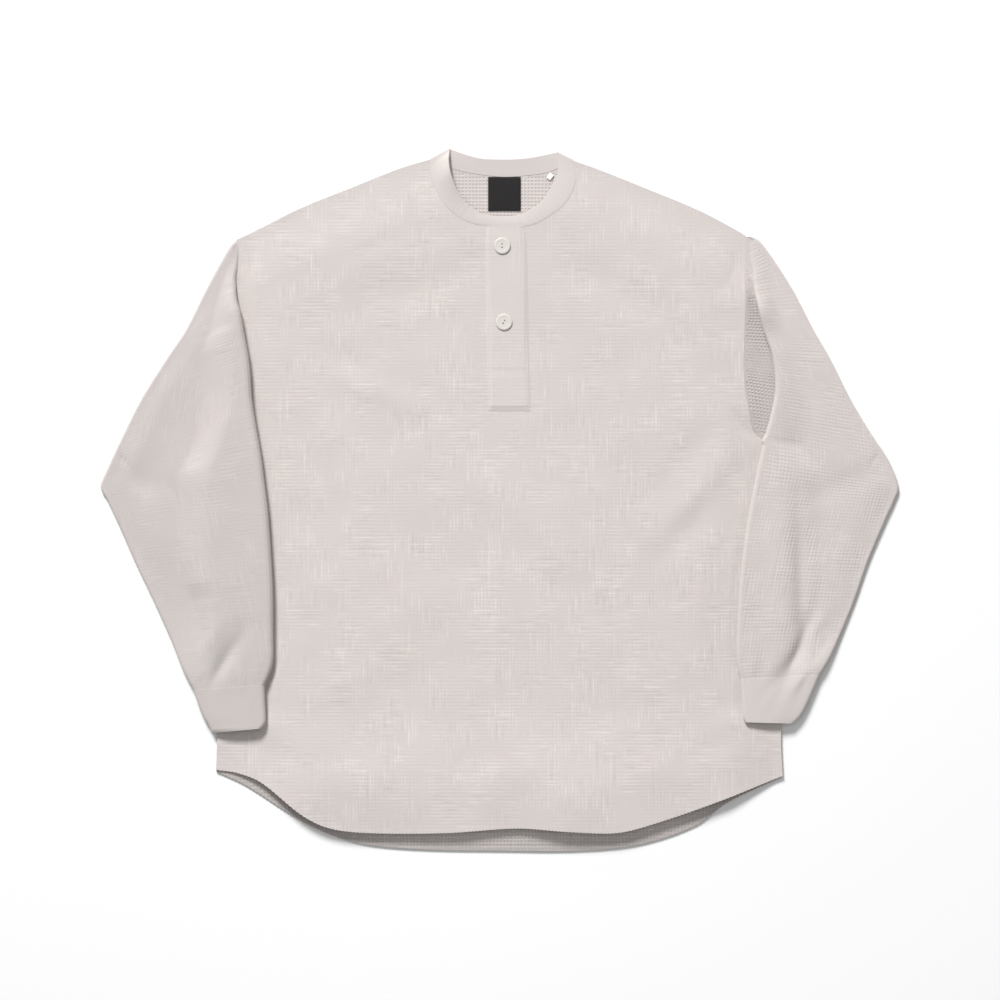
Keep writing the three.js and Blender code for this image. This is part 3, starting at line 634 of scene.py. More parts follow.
def panel_outline(hem, neck, pitch, scallop):
    """A body panel's outline, anticlockwise from the hem over the right side, shoulders and neck."""
    hem_line = spaced(hem, -326, 326, pitch / 3)
    push = scallop * np.sin(2 * math.pi * hem_line[:, 0] / pitch)
    hem_line[:, 1] += push * soft((326 - np.abs(hem_line[:, 0])) / 8)
    right = spaced(armhole_right, ARMHOLE_RIGHT[0].y, ARMHOLE_RIGHT[-1].y, 3)
    shoulder_r = spaced(shoulder_right, SHOULDER_RIGHT[-1].x, SHOULDER_RIGHT[0].x, 3)
    neck_line = spaced(neck, 1, 0, 2.5, ("seam_x", "seam_y"))
    shoulder_l = spaced(shoulder_left, SHOULDER_LEFT[-1].x, SHOULDER_LEFT[0].x, 3)
    left = spaced(armhole_left, ARMHOLE_LEFT[-1].y, ARMHOLE_LEFT[0].y, 3)
    return np.vstack([hem_line, right, shoulder_r, neck_line, shoulder_l, left])


def body_edge(section, armhole):
    """Where a sleeve section crosses the edge of the body."""
    slope = (section.fold_y - section.outer_y) / (section.fold_x - section.outer_x)
    x, y = section.fold_x, section.fold_y
    for _ in range(20):
        x = armhole(y).x
        y = section.outer_y + slope * (x - section.outer_x)
    return x, y


def section_path(shape, ring, bend_steps, run_steps):
    """The middle of a sleeve's wall at one section, as (distance out, height, is it an anchor).

    It starts at the seam to the front panel or, on a ring, beside the body's side seam, tucks, laps the body,
    folds back, runs out to the outer edge and returns along the surface underneath. Anchors are the points that
    every section has in the same order. Between them the cloth runs nearly straight.
    """
    path = []
    u = SEAM + WALL / 2 if ring else shape["seam"]
    z = SIDE_SEAM_HEIGHT if ring else FRONT_LEVEL - SEAM_STEP + shape["rise"]
    heading = 90.0 if ring else 0.0
    path.append((u, z, True))

    def straight(length, drop=0.0):
        nonlocal u, z
        start_u, start_z = u, z
        for step in range(1, run_steps + 1):
            u = start_u + math.cos(math.radians(heading)) * length * step / run_steps
            z = start_z + math.sin(math.radians(heading)) * length * step / run_steps
            z -= drop * float(soft(step / run_steps * 1.15))
            path.append((u, z, step == run_steps))

    def bend(to, radius, steps):
        nonlocal u, z, heading
        left = math.copysign(1, to - heading)
        centre_u = u - left * radius * math.sin(math.radians(heading))
        centre_z = z + left * radius * math.cos(math.radians(heading))
        start = heading
        for step in range(1, steps + 1):
            heading = lerp(start, to, step / steps)
            u = centre_u + left * radius * math.sin(math.radians(heading))
            z = centre_z - left * radius * math.cos(math.radians(heading))
            path.append((u, z, True))

    lens = max(shape["fold"], 0)
    narrow = 1.0 if ring else min(shape["outer"] / NARROW_SECTION, 1.0)
    tuck, lap, edge = TUCK_RADIUS * narrow, shape["lap"] * narrow, shape["edge"]
    if ring:
        straight(TUCK_LEVEL - TUCK_RADIUS - SIDE_SEAM_HEIGHT)
    else:
        straight(TUCK_START * narrow + lens + TUCK_DEPTH * float(soft(lens / 20)), shape["rise"])
    bend(shape["turn"], tuck, bend_steps)
    straight(max(u - shape["fold"] - lap - WALL / 2, LEAST_TUCK * narrow))
    bend(0, lap, bend_steps + 2)

    top = len(path) - 1
    top_u, top_z = u, z
    edge_u = shape["outer"] - WALL / 2 - edge
    edge_z = BACK_LEVEL + 2 * edge
    middle_z = lerp(edge_z, SLEEVE_LEVEL, float(soft(shape["outer"] / FULL_WIDTH)))
    ease_out = min(SLEEVE_EASE_OUT, (edge_u - max(top_u, 0)) / 2)
    ease_in = min(SLEEVE_EASE_IN, (edge_u - max(top_u, 0)) / 2)
    hold_to = max(top_u, min(4, edge_u - ease_in - ease_out))
    out_steps = 16 * run_steps
    run_u = lerp(top_u, edge_u, np.arange(1, out_steps + 1) / out_steps)
    inner = (top_z - middle_z) * (1 - soft((run_u - hold_to) / ease_in))
    outer = (edge_z - middle_z) * (1 - soft((edge_u - run_u) / ease_out))
    free = soft((run_u - top_u) / FOLD_FREE_EDGE) * soft((edge_u - run_u) / FOLD_FREE_EDGE)
    level = middle_z + inner + outer
    share = (run_u - top_u) / (edge_u - top_u)
    sloped = top_z + (edge_z - top_z) * share**CUFF_SLOPE + CUFF_CROWN * np.sin(math.pi * share)
    run_z = lerp(level, sloped, shape["to_cuff"]) + free * shape["ripple"](run_u)
    for step in range(out_steps):
        path.append((float(run_u[step]), float(run_z[step]), step == out_steps - 1))

    u, z = edge_u, edge_z
    bend(-180, edge, bend_steps + 2)
    end_u = min(SEAM + WALL / 2 + FOOT_RADIUS if ring else 2 * FOOT_RADIUS, u - 0.2)
    straight(u - end_u)
    if ring:
        bend(-270, FOOT_RADIUS, 3)
        path.append((path[0][0], path[0][1], True))
    else:
        for step in range(1, 5):
            path.append((lerp(end_u, shape["seam"], step / 4), z, True))
    return path, top


class Tube:
    """A sleeve or cuff: its wall's middle at any section of its table."""

    def __init__(self, table, armhole, ring_from, lie, cuff=False):
        self.at = through(table)
        self.last = len(table) - 1
        self.armhole = armhole
        self.ring_from = ring_from
        self.lie = lie
        self.cuff = cuff

    def place(self, k, part):
        """A point between the inner fold and the outer edge, on plan."""
        row = self.at(k)
        return np.stack([lerp(row.fold_x, row.outer_x, part), lerp(row.fold_y, row.outer_y, part)], axis=-1)

    def section(self, k, bend_steps, run_steps):
        """Points along the wall's middle at section k, their anchors and the grain's zero mark."""
        row = self.at(k)
        edge_x, edge_y = body_edge(row, self.armhole)
        length = math.hypot(row.outer_x - row.fold_x, row.outer_y - row.fold_y)
        out = np.array([(row.outer_x - row.fold_x) / length, (row.outer_y - row.fold_y) / length])
        edge = np.array([float(edge_x), float(edge_y)])
        outer = float((np.array([row.outer_x, row.outer_y]) - edge) @ out)
        fold = float((np.array([row.fold_x, row.fold_y]) - edge) @ out)

        def folds_at(u):
            x, y = edge[0] + out[0] * u, edge[1] + out[1] * u
            return ripple(SLEEVE_FOLDS, x, y) + waves(x, y)

        to_cuff = 1.0 if self.cuff else float(soft((k - self.last + 3) / 3))
        edge_radius = lerp(EDGE_RADIUS, CUFF_EDGE_RADIUS, to_cuff)
        lift = self.lie.start * to_cuff
        if not self.cuff:
            lift += SLEEVE_PUFF * math.sin(math.pi * min(max((k - self.last + 2.2) / 2.2, 0), 1))
        if self.cuff:
            lift += (self.lie.end - self.lie.start) * float(soft(k / self.last))
        lap = lerp(LEAST_LAP_RADIUS, self.lie.lap, 1.0 if self.cuff else float(soft(k / 5)))
        shape = {
            "seam": lerp(ARMPIT_SEAM, -SEAM_LAP, float(soft((self.ring_from - k) / 4))),
            "rise": max(float(front_level(edge_x, edge_y)) - FRONT_LEVEL, 0.0),
            "turn": float(row.turn),
            "outer": outer,
            "fold": fold,
            "lap": lerp(lap, self.lie.cuff_lap, to_cuff),
            "edge": min(edge_radius, (outer - WALL / 2) * 0.6),
            "to_cuff": to_cuff,
            "ripple": folds_at,
        }
        closing = float(np.clip(k - (self.ring_from - 1), 0, 1)) if self.ring_from else 1.0
        paths = []
        if closing < 1:
            path, top = section_path(shape, False, bend_steps, run_steps)
            paths.append((1 - closing, path))
        if closing > 0:
            path, top = section_path(shape, True, bend_steps, run_steps)
            paths.append((closing, path))
        u = sum(weight * np.array([point[0] for point in path]) for weight, path in paths)
        z = sum(weight * np.array([point[1] for point in path]) for weight, path in paths)
        anchors = np.array([point[2] for point in paths[0][1]])
        z = z + lift
        points = np.stack([edge[0] + out[0] * u, edge[1] + out[1] * u, z], axis=1)
        along = np.concatenate([[0], np.cumsum(np.linalg.norm(np.diff(points, axis=0), axis=1))])
        run = slice(top, top + 16 * run_steps + 1)
        zero = float(np.interp(lerp(fold, outer, GRAIN_PLACE), u[run], along[run]))
        return points, along, anchors, zero


def zip_rows(first, second, quads, triangles, cells, depth=1.0):
    """Faces between two rows of numbered points, each a list of (id, distance, column or None)."""
    a = b = 0
    while a < len(first) - 1 or b < len(second) - 1:
        both = a < len(first) - 1 and b < len(second) - 1
        here = (first[a][2], second[b][2])
        ahead = (first[a + 1][2], second[b + 1][2]) if both else (None, None)
        matched = both and ahead[0] is not None and ahead[0] == ahead[1]
        if matched and here[0] is not None and here[0] == here[1]:
            quads.append((first[a][0], second[b][0], second[b + 1][0], first[a + 1][0]))
            cells.append(depth)
            a, b = a + 1, b + 1
        elif both and len(first) == 2 and len(second) == 2:
            quads.append((first[a][0], second[b][0], second[b + 1][0], first[a + 1][0]))
            cells.append(0.0)
            a, b = a + 1, b + 1
        elif b == len(second) - 1 or (a < len(first) - 1 and first[a + 1][1] <= second[b + 1][1]):
            triangles.append((first[a][0], second[b][0], first[a + 1][0]))
            a += 1
        else:
            triangles.append((first[a][0], second[b][0], second[b + 1][0]))
            b += 1


def sleeve_mesh(tube, pitch):
    """Rows of points down a sleeve: waffle columns one pitch apart, and every fold's own points."""
    fine = np.linspace(0, tube.last, 600)
    line = tube.place(fine, GRAIN_PLACE)
    along = np.concatenate([[0], np.cumsum(np.linalg.norm(np.diff(line, axis=0), axis=1))])
    count = int(round(along[-1] / pitch))
    marks = np.linspace(0, along[-1], count + 1)
    points, grain, inside, rows = [], [], [], []
    for mark, k in zip(marks, np.interp(marks, along, fine)):
        path, distance, anchors, zero = tube.section(float(k), 4, 4)
        distance = distance - zero
        where = np.nonzero(anchors)[0]
        row = []
        for start, end in zip(where[:-1], where[1:]):
            stretch = [(distance[start], None)]
            lattice = np.arange(math.ceil((distance[start] + 1) / pitch),
                math.floor((distance[end] - 1) / pitch) + 1)
            stretch += [(column * pitch, int(column)) for column in lattice]
            row.append(stretch)
        row.append([(distance[where[-1]], None)])
        numbered = []
        # Painted shade: the cloth between the armhole seam and the inner fold near the armpit lies in shade, so
        # its colour is darkened through the inside attribute
        recess_painted_shade = float(soft((k - 2) / 1.5) * soft((ARMPIT + 0.4 - k) / 1.2))
        for number, stretch in enumerate(row):
            part = []
            for value, column in stretch:
                place = [np.interp(value, distance, path[:, axis]) for axis in range(3)]
                part.append((len(points), value, column))
                points.append(place)
                grain.append((value, -mark))
                inside.append(recess_painted_shade * (number < 2))
            numbered.append(part)
        rows.append(numbered)
    quads, triangles, cells = [], [], []
    stations = np.interp(marks, along, fine)
    for k, first, second in zip(stations, rows[:-1], rows[1:]):
        for part in range(len(first) - 1):
            depth = RECESS_DEPTH if part == 0 and 3 < k < ARMPIT else 1.0
            row, following = first[part] + first[part + 1][:1], second[part] + second[part + 1][:1]
            zip_rows(row, following, quads, triangles, cells, depth)
    return np.array(points), quads, triangles, cells, np.array(grain), inside


def edged(count, margin):
    """Even parts from 0 to 1 with a narrow one at both ends, which keeps a smooth piece's edges crisp."""
    return np.concatenate([[0, margin], np.arange(1, count) / count, [1 - margin, 1]])


def grid_faces(rows, columns):
    """Quads of a grid of numbered points."""
    corners = [row * columns + column for row in range(rows - 1) for column in range(columns - 1)]
    return [(corner, corner + columns, corner + columns + 1, corner + 1) for corner in corners]


def flipped(faces):
    return [tuple(reversed(face)) for face in faces]


# Node helpers


def link(tree, start, end):
    tree.links.new(start, end)


def add_node(tree, kind, place, values=None, **settings):
    """One node at a place in its tree, with input values by name or number and settings."""
    node = tree.nodes.new(kind)
    node.location = place
    for name, value in settings.items():
        setattr(node, name, value)
    for name, value in (values or {}).items():
        node.inputs[name].default_value = value
    return node


def maths(tree, operation, first, second, place):
    """A Math node. Each operand is a number or a socket."""
    node = add_node(tree, "ShaderNodeMath", place, operation=operation)
    for index, operand in enumerate((first, second)):
        if operand is None:
            continue
        if isinstance(operand, (int, float)):
            node.inputs[index].default_value = operand
        else:
            link(tree, operand, node.inputs[index])
    return node.outputs[0]


def new_tree(name, kind, inputs, outputs):
    """A node group with named sockets, each given as (name, socket type, default)."""
    tree = bpy.data.node_groups.new(name, kind)
    for direction, sockets in (("INPUT", inputs), ("OUTPUT", outputs)):
        for label, socket_type, default in sockets:
            socket = tree.interface.new_socket(label, in_out=direction, socket_type=socket_type)
            if default is not None:
                socket.default_value = default
    start = add_node(tree, "NodeGroupInput", (-900, 0))
    end = add_node(tree, "NodeGroupOutput", (900, 0))
    return tree, start, end


def grow(piece, tree, values):
    """Run a geometry tree on a piece and keep the result as its plain mesh."""
    modifier = piece.modifiers.new(tree.name, "NODES")
    modifier.node_group = tree
    for socket in tree.interface.items_tree:
        if socket.in_out == "INPUT" and socket.name in values:
            modifier[socket.identifier] = values[socket.name]
    graph = bpy.context.evaluated_depsgraph_get()
    mesh = bpy.data.meshes.new_from_object(piece.evaluated_get(graph), preserve_all_data_layers=True,
        depsgraph=graph)
    piece.modifiers.remove(modifier)
    old = piece.data
    piece.data = mesh
    bpy.data.meshes.remove(old)
    mesh.name = piece.name
    return piece


def close_tree(tree, geometry, start, end):
    """Realize Instances and Set Material, the end of every geometry tree here."""
    realized = add_node(tree, "GeometryNodeRealizeInstances", (500, 0))
    painted = add_node(tree, "GeometryNodeSetMaterial", (700, 0))
    link(tree, geometry, realized.inputs["Geometry"])
    link(tree, realized.outputs["Geometry"], painted.inputs["Geometry"])
    link(tree, start.outputs["Material"], painted.inputs["Material"])
    link(tree, painted.outputs["Geometry"], end.inputs["Geometry"])


GEOMETRY = ("Geometry", "NodeSocketGeometry", None)
MATERIAL = ("Material", "NodeSocketMaterial", None)


def waffle_tree():
    """Sinks each waffle cell's middle point and lets the ridges between cells wander a little."""
    inputs = [
        GEOMETRY, ("Depth", "NodeSocketFloat", 0.0004), ("Unevenness", "NodeSocketFloat", 0.3),
        ("Patchiness", "NodeSocketFloat", 0.0), ("Wander", "NodeSocketFloat", 0.00018),
        ("Seed", "NodeSocketInt", 0), MATERIAL,
    ]
    tree, start, end = new_tree("Waffle relief", "GeometryNodeTree", inputs, [GEOMETRY])
    pit = add_node(tree, "GeometryNodeInputNamedAttribute", (-900, -300), {"Name": "pit"}, data_type="FLOAT")
    outer = add_node(tree, "GeometryNodeInputNamedAttribute", (-900, -500), {"Name": "outer"},
        data_type="FLOAT")
    noise = add_node(tree, "ShaderNodeTexNoise", (-700, -300), {"Scale": 170.0, "Detail": 2.0},
        noise_dimensions="4D")
    link(tree, start.outputs["Seed"], noise.inputs["W"])
    swing = maths(tree, "SUBTRACT", noise.outputs["Fac"], 0.5, (-500, -300))
    share = maths(tree, "MULTIPLY_ADD", swing, start.outputs["Unevenness"], (-340, -300))
    share.node.inputs[2].default_value = 1.0
    sunk = maths(tree, "MULTIPLY", pit.outputs["Attribute"], start.outputs["Depth"], (-340, -120))
    sunk = maths(tree, "MULTIPLY", sunk, share, (-180, -160))
    broad = add_node(tree, "ShaderNodeTexNoise", (-700, 220), {"Scale": 26.0, "Detail": 1.5},
        noise_dimensions="4D")
    link(tree, start.outputs["Seed"], broad.inputs["W"])
    faded = maths(tree, "MULTIPLY_ADD", broad.outputs["Fac"], -6.0, (-540, 220))
    faded.node.inputs[2].default_value = 3.4
    faded.node.use_clamp = True
    faded = maths(tree, "MULTIPLY", faded, start.outputs["Patchiness"], (-380, 220))
    sunk = maths(tree, "MULTIPLY", sunk, maths(tree, "SUBTRACT", 1.0, faded, (-220, 220)), (-100, 60))
    sunk = maths(tree, "MULTIPLY", sunk, -1.0, (-20, -160))
    wander = maths(tree, "MULTIPLY", swing, start.outputs["Wander"], (-340, -480))
    wander = maths(tree, "MULTIPLY", wander, outer.outputs["Attribute"], (-180, -480))
    height = maths(tree, "ADD", sunk, wander, (120, -200))
    normal = add_node(tree, "GeometryNodeInputNormal", (120, -380))
    offset = add_node(tree, "ShaderNodeVectorMath", (260, -220), operation="SCALE")
    link(tree, normal.outputs[0], offset.inputs[0])
    link(tree, height, offset.inputs["Scale"])
    moved = add_node(tree, "GeometryNodeSetPosition", (380, 0))
    link(tree, start.outputs["Geometry"], moved.inputs["Geometry"])
    link(tree, offset.outputs["Vector"], moved.inputs["Offset"])
    close_tree(tree, moved.outputs["Geometry"], start, end)
    return tree


def rib_tree():
    """Raises ribs along the cloth's rib count on its outer side."""
    inputs = [GEOMETRY, ("Depth", "NodeSocketFloat", 0.0003), MATERIAL]
    tree, start, end = new_tree("Rib relief", "GeometryNodeTree", inputs, [GEOMETRY])
    rib = add_node(tree, "GeometryNodeInputNamedAttribute", (-900, -300), {"Name": "rib"}, data_type="FLOAT")
    outer = add_node(tree, "GeometryNodeInputNamedAttribute", (-900, -500), {"Name": "outer"},
        data_type="FLOAT")
    turn = maths(tree, "MULTIPLY", rib.outputs["Attribute"], 2 * math.pi, (-700, -300))
    crest = maths(tree, "COSINE", turn, None, (-540, -300))
    crest = maths(tree, "MULTIPLY", crest, start.outputs["Depth"], (-380, -300))
    crest = maths(tree, "MULTIPLY", crest, 0.5, (-220, -300))
    crest = maths(tree, "MULTIPLY", crest, outer.outputs["Attribute"], (-60, -300))
    normal = add_node(tree, "GeometryNodeInputNormal", (-60, -460))
    offset = add_node(tree, "ShaderNodeVectorMath", (120, -220), operation="SCALE")
    link(tree, normal.outputs[0], offset.inputs[0])
    link(tree, crest, offset.inputs["Scale"])
    moved = add_node(tree, "GeometryNodeSetPosition", (320, 0))
    link(tree, start.outputs["Geometry"], moved.inputs["Geometry"])
    link(tree, offset.outputs["Vector"], moved.inputs["Offset"])
    close_tree(tree, moved.outputs["Geometry"], start, end)
    return tree


def stitch_tree():
    """Lays one thread stitch after another along every line."""
    inputs = [
        GEOMETRY, ("Pitch", "NodeSocketFloat", 0.003), ("Length", "NodeSocketFloat", 0.0022),
        ("Thickness", "NodeSocketFloat", 0.0005), MATERIAL,
    ]
    tree, start, end = new_tree("Running stitch", "GeometryNodeTree", inputs, [GEOMETRY])
    curve = add_node(tree, "GeometryNodeMeshToCurve", (-700, 0))
    spaced_out = add_node(tree, "GeometryNodeResampleCurve", (-520, 0), mode="LENGTH")
    link(tree, start.outputs["Geometry"], curve.inputs["Mesh"])
    link(tree, curve.outputs["Curve"], spaced_out.inputs["Curve"])
    link(tree, start.outputs["Pitch"], spaced_out.inputs["Length"])
    thread = add_node(tree, "GeometryNodeMeshUVSphere", (-700, -300),
        {"Segments": 6, "Rings": 5, "Radius": 0.5})
    size = add_node(tree, "ShaderNodeCombineXYZ", (-700, -460))
    link(tree, start.outputs["Length"], size.inputs["X"])
    link(tree, start.outputs["Thickness"], size.inputs["Y"])
    link(tree, start.outputs["Thickness"], size.inputs["Z"])
    stretched = add_node(tree, "GeometryNodeTransform", (-520, -300))
    link(tree, thread.outputs["Mesh"], stretched.inputs["Geometry"])
    link(tree, size.outputs["Vector"], stretched.inputs["Scale"])
    rounded = add_node(tree, "GeometryNodeSetShadeSmooth", (-340, -300))
    link(tree, stretched.outputs["Geometry"], rounded.inputs["Geometry"])
    tangent = add_node(tree, "GeometryNodeInputTangent", (-520, -620))
    turned = add_node(tree, "FunctionNodeAlignRotationToVector", (-340, -520), axis="X")
    link(tree, tangent.outputs["Tangent"], turned.inputs["Vector"])
    placed = add_node(tree, "GeometryNodeInstanceOnPoints", (-100, 0))
    link(tree, spaced_out.outputs["Curve"], placed.inputs["Points"])
    link(tree, rounded.outputs["Geometry"], placed.inputs["Instance"])
    link(tree, turned.outputs["Rotation"], placed.inputs["Rotation"])
    close_tree(tree, placed.outputs["Instances"], start, end)
    return tree


# Materials


def yarn_group():
    """Fine yarn on the cloth's own grain: a height and a small change of tone."""
    inputs = [
        ("Yarns per metre", "NodeSocketFloat", 1500.0), ("Fuzz", "NodeSocketFloat", 0.4),
    ]
    outputs = [("Height", "NodeSocketFloat", None), ("Tone", "NodeSocketFloat", None)]
    tree, start, end = new_tree("Yarn", "ShaderNodeTree", inputs, outputs)
    grain = add_node(tree, "ShaderNodeUVMap", (-900, -300), uv_map="grain")
    split = add_node(tree, "ShaderNodeSeparateXYZ", (-720, -300))
    link(tree, grain.outputs["UV"], split.inputs[0])
    turn = maths(tree, "MULTIPLY", start.outputs["Yarns per metre"], 2 * math.pi, (-720, 0))
    across = maths(tree, "MULTIPLY", split.outputs["X"], turn, (-540, -160))
    along = maths(tree, "MULTIPLY", split.outputs["Y"], turn, (-540, -360))
    wave_x = maths(tree, "SINE", across, None, (-380, -160))
    wave_y = maths(tree, "SINE", along, None, (-380, -360))
    weave = maths(tree, "MULTIPLY", wave_x, wave_y, (-220, -240))
    noise = add_node(tree, "ShaderNodeTexNoise", (-540, -560),
        {"Scale": 900.0, "Detail": 3.0, "Roughness": 0.7})
    place = add_node(tree, "ShaderNodeTexCoord", (-720, -560))
    link(tree, place.outputs["Object"], noise.inputs["Vector"])
    fuzz = maths(tree, "SUBTRACT", noise.outputs["Fac"], 0.5, (-380, -560))
    fuzz = maths(tree, "MULTIPLY", fuzz, start.outputs["Fuzz"], (-220, -500))
    half = maths(tree, "MULTIPLY", weave, 0.25, (-60, -240))
    height = maths(tree, "ADD", half, fuzz, (100, -240))
    link(tree, height, end.inputs["Height"])
    link(tree, fuzz, end.inputs["Tone"])
    return tree


def streak_group():
    """Ridge lines of the knit, each lighter or darker than the next and seen only in places, and broad patches.

    Even is 0 where the lines come and go, and 1 where all of them show.
    """
    inputs = [
        ("Pitch", "NodeSocketFloat", 0.004), ("Run", "NodeSocketFloat", 40.0),
        ("Even", "NodeSocketFloat", 0.0),
    ]
    outputs = [(label, "NodeSocketFloat", None) for label in ("Tone", "Ridge", "Patches", "Hue")]
    tree, start, end = new_tree("Knit lines", "ShaderNodeTree", inputs, outputs)
    grain = add_node(tree, "ShaderNodeUVMap", (-1300, -300), uv_map="grain")
    split = add_node(tree, "ShaderNodeSeparateXYZ", (-1140, -300))
    link(tree, grain.outputs["UV"], split.inputs[0])
    place = add_node(tree, "ShaderNodeTexCoord", (-1300, -1060))
    tones, ridges = [], []
    for row, (fine, coarse) in enumerate((("X", "Y"), ("Y", "X"))):
        height = -100 - 460 * row
        line = maths(tree, "DIVIDE", split.outputs[fine], start.outputs["Pitch"], (-960, height))
        turn = maths(tree, "MULTIPLY", line, 2 * math.pi, (-800, height - 160))
        crest = maths(tree, "COSINE", turn, None, (-660, height - 160))
        crest = maths(tree, "MULTIPLY_ADD", crest, 0.5, (-520, height - 160))
        crest.node.inputs[2].default_value = 0.5
        crest = maths(tree, "POWER", crest, 1.6, (-380, height - 160))
        run = maths(tree, "MULTIPLY", split.outputs[coarse], start.outputs["Run"], (-800, height - 320))
        run = maths(tree, "ADD", run, 31.7 * (row + 1), (-660, height - 320))
        joined = add_node(tree, "ShaderNodeCombineXYZ", (-520, height))
        link(tree, line, joined.inputs["X"])
        link(tree, run, joined.inputs["Y"])
        noise = add_node(tree, "ShaderNodeTexNoise", (-360, height),
            {"Scale": 0.83, "Detail": 2.0, "Roughness": 0.6})
        link(tree, joined.outputs[0], noise.inputs["Vector"])
        swing = maths(tree, "MULTIPLY_ADD", noise.outputs["Fac"], 1.3, (-200, height))
        swing.node.inputs[2].default_value = -0.62
        spot = add_node(tree, "ShaderNodeTexNoise", (-360, height + 200),
            {"Scale": 30.0, "Detail": 1.5, "W": 4.0 * row},
                        noise_dimensions="4D")
        link(tree, place.outputs["Object"], spot.inputs["Vector"])
        seen = maths(tree, "MULTIPLY_ADD", spot.outputs["Fac"], 6.5, (-200, height + 200))
        seen.node.inputs[2].default_value = -2.9
        seen.node.use_clamp = True
        seen = maths(tree, "MAXIMUM", seen, start.outputs["Even"], (-60, height + 200))
        crest = maths(tree, "MULTIPLY", crest, seen, (80, height + 100))
        tones.append(maths(tree, "MULTIPLY", swing, crest, (220, height)))
        ridges.append(crest)
    link(tree, maths(tree, "ADD", tones[0], tones[1], (400, -200)), end.inputs["Tone"])
    link(tree, maths(tree, "MAXIMUM", ridges[0], ridges[1], (400, -400)), end.inputs["Ridge"])
    for label, scale, seed, height in (("Patches", 9.0, 0.0, -1060), ("Hue", 15.0, 3.0, -1300)):
        cloud = add_node(tree, "ShaderNodeTexNoise", (-180, height),
            {"Scale": scale, "Detail": 3.0, "W": seed},
                         noise_dimensions="4D")
        link(tree, place.outputs["Object"], cloud.inputs["Vector"])
        link(tree, maths(tree, "SUBTRACT", cloud.outputs["Fac"], 0.5, (0, height)), end.inputs[label])
    return tree


def shaded(name, roughness, sheen=0.0, sheen_roughness=0.5, ior=1.45, specular=0.5, coat=0.0):
    """A new material with its Principled shader, and that shader's constants set."""
    material = bpy.data.materials.new(name)
    material.use_nodes = True
    tree = material.node_tree
    shader = next(node for node in tree.nodes if node.type == "BSDF_PRINCIPLED")
    shader.inputs["Roughness"].default_value = roughness
    shader.inputs["Sheen Weight"].default_value = sheen
    shader.inputs["Sheen Roughness"].default_value = sheen_roughness
    shader.inputs["IOR"].default_value = ior
    shader.inputs["Specular IOR Level"].default_value = specular
    shader.inputs["Coat Weight"].default_value = coat
    return material, tree, shader


def group_node(tree, group, place, values=None):
    node = add_node(tree, "ShaderNodeGroup", place, node_tree=group)
    for name, value in (values or {}).items():
        node.inputs[name].default_value = value
    return node


def toned(tree, colour, tone, place):
    """A colour made lighter or darker by a tone, which is 1 where it stays the same."""
    node = add_node(tree, "ShaderNodeMix", place, data_type="RGBA", blend_type="MULTIPLY")
    node.inputs["Factor"].default_value = 1.0
    colour_in, tone_in = [socket for socket in node.inputs if socket.type == "RGBA"]
    colour_in.default_value = (*colour, 1.0)
    link(tree, tone, tone_in)
    return next(socket for socket in node.outputs if socket.type == "RGBA")


def bump(tree, height, strength, distance, place, normal=None):
    node = add_node(tree, "ShaderNodeBump", place, {"Strength": strength, "Distance": distance})
    link(tree, height, node.inputs["Height"])
    if normal is not None:
        link(tree, normal, node.inputs["Normal"])
    return node.outputs["Normal"]


def waffle_material(name, colour, groups, pitch, cell_shade, streak_strength, even):
    """Waffle-knit cotton: yarn, uneven ridge lines, painted shade that makes the cell floors a little darker
    than their ridges, and painted shade where the inside attribute marks cloth lying in shade.
    """
    material, tree, shader = shaded(name, 0.92, sheen=0.15, sheen_roughness=0.6, specular=0.25)
    yarn = group_node(tree, groups["yarn"], (-1000, -400), {"Yarns per metre": 1.5 / pitch, "Fuzz": 0.7})
    knit = group_node(tree, groups["streaks"], (-1000, -100), {"Pitch": pitch, "Even": even})
    # Painted shade: ridges lighter than the cell floors, standing in for the shade inside each cell
    shade = maths(tree, "MULTIPLY", knit.outputs["Ridge"], cell_shade, (-800, 200))
    tone = maths(tree, "MULTIPLY", knit.outputs["Tone"], streak_strength, (-800, 0))
    patch = maths(tree, "MULTIPLY", knit.outputs["Patches"], 0.06, (-800, -160))
    fuzz = maths(tree, "MULTIPLY", yarn.outputs["Tone"], 0.08, (-800, -320))
    total = maths(tree, "ADD", shade, tone, (-620, 100))
    total = maths(tree, "ADD", total, patch, (-480, 60))
    total = maths(tree, "ADD", total, fuzz, (-340, 20))
    # Painted shade: the inside attribute darkens the colour of cloth lying in shade inside a fold or under the
    # front hem
    inside = add_node(tree, "ShaderNodeAttribute", (-620, 300), attribute_name="inside")
    painted_shade_tone = maths(tree, "MULTIPLY_ADD", inside.outputs["Fac"], -INSIDE_SHADE, (-460, 300))
    painted_shade_tone.node.inputs[2].default_value = 1.0
    total = maths(tree, "ADD", total, painted_shade_tone, (-200, 20))
    pinker = maths(tree, "MULTIPLY_ADD", knit.outputs["Hue"], 0.03, (-200, 200))
    link(tree, total, pinker.node.inputs[2])
    greener = maths(tree, "MULTIPLY_ADD", knit.outputs["Hue"], -0.02, (-200, 360))
    link(tree, total, greener.node.inputs[2])
    tint = add_node(tree, "ShaderNodeCombineXYZ", (-120, 200))
    for index, share in enumerate((pinker, greener, total)):
        link(tree, share, tint.inputs[index])
    link(tree, toned(tree, colour, tint.outputs[0], (-40, 100)), shader.inputs["Base Color"])
    relief = maths(tree, "MULTIPLY", knit.outputs["Ridge"], 0.5, (-620, -420))
    height = maths(tree, "ADD", relief, yarn.outputs["Height"], (-460, -420))
    link(tree, bump(tree, height, 0.28, 0.0004, (-240, -420)), shader.inputs["Normal"])
    return material


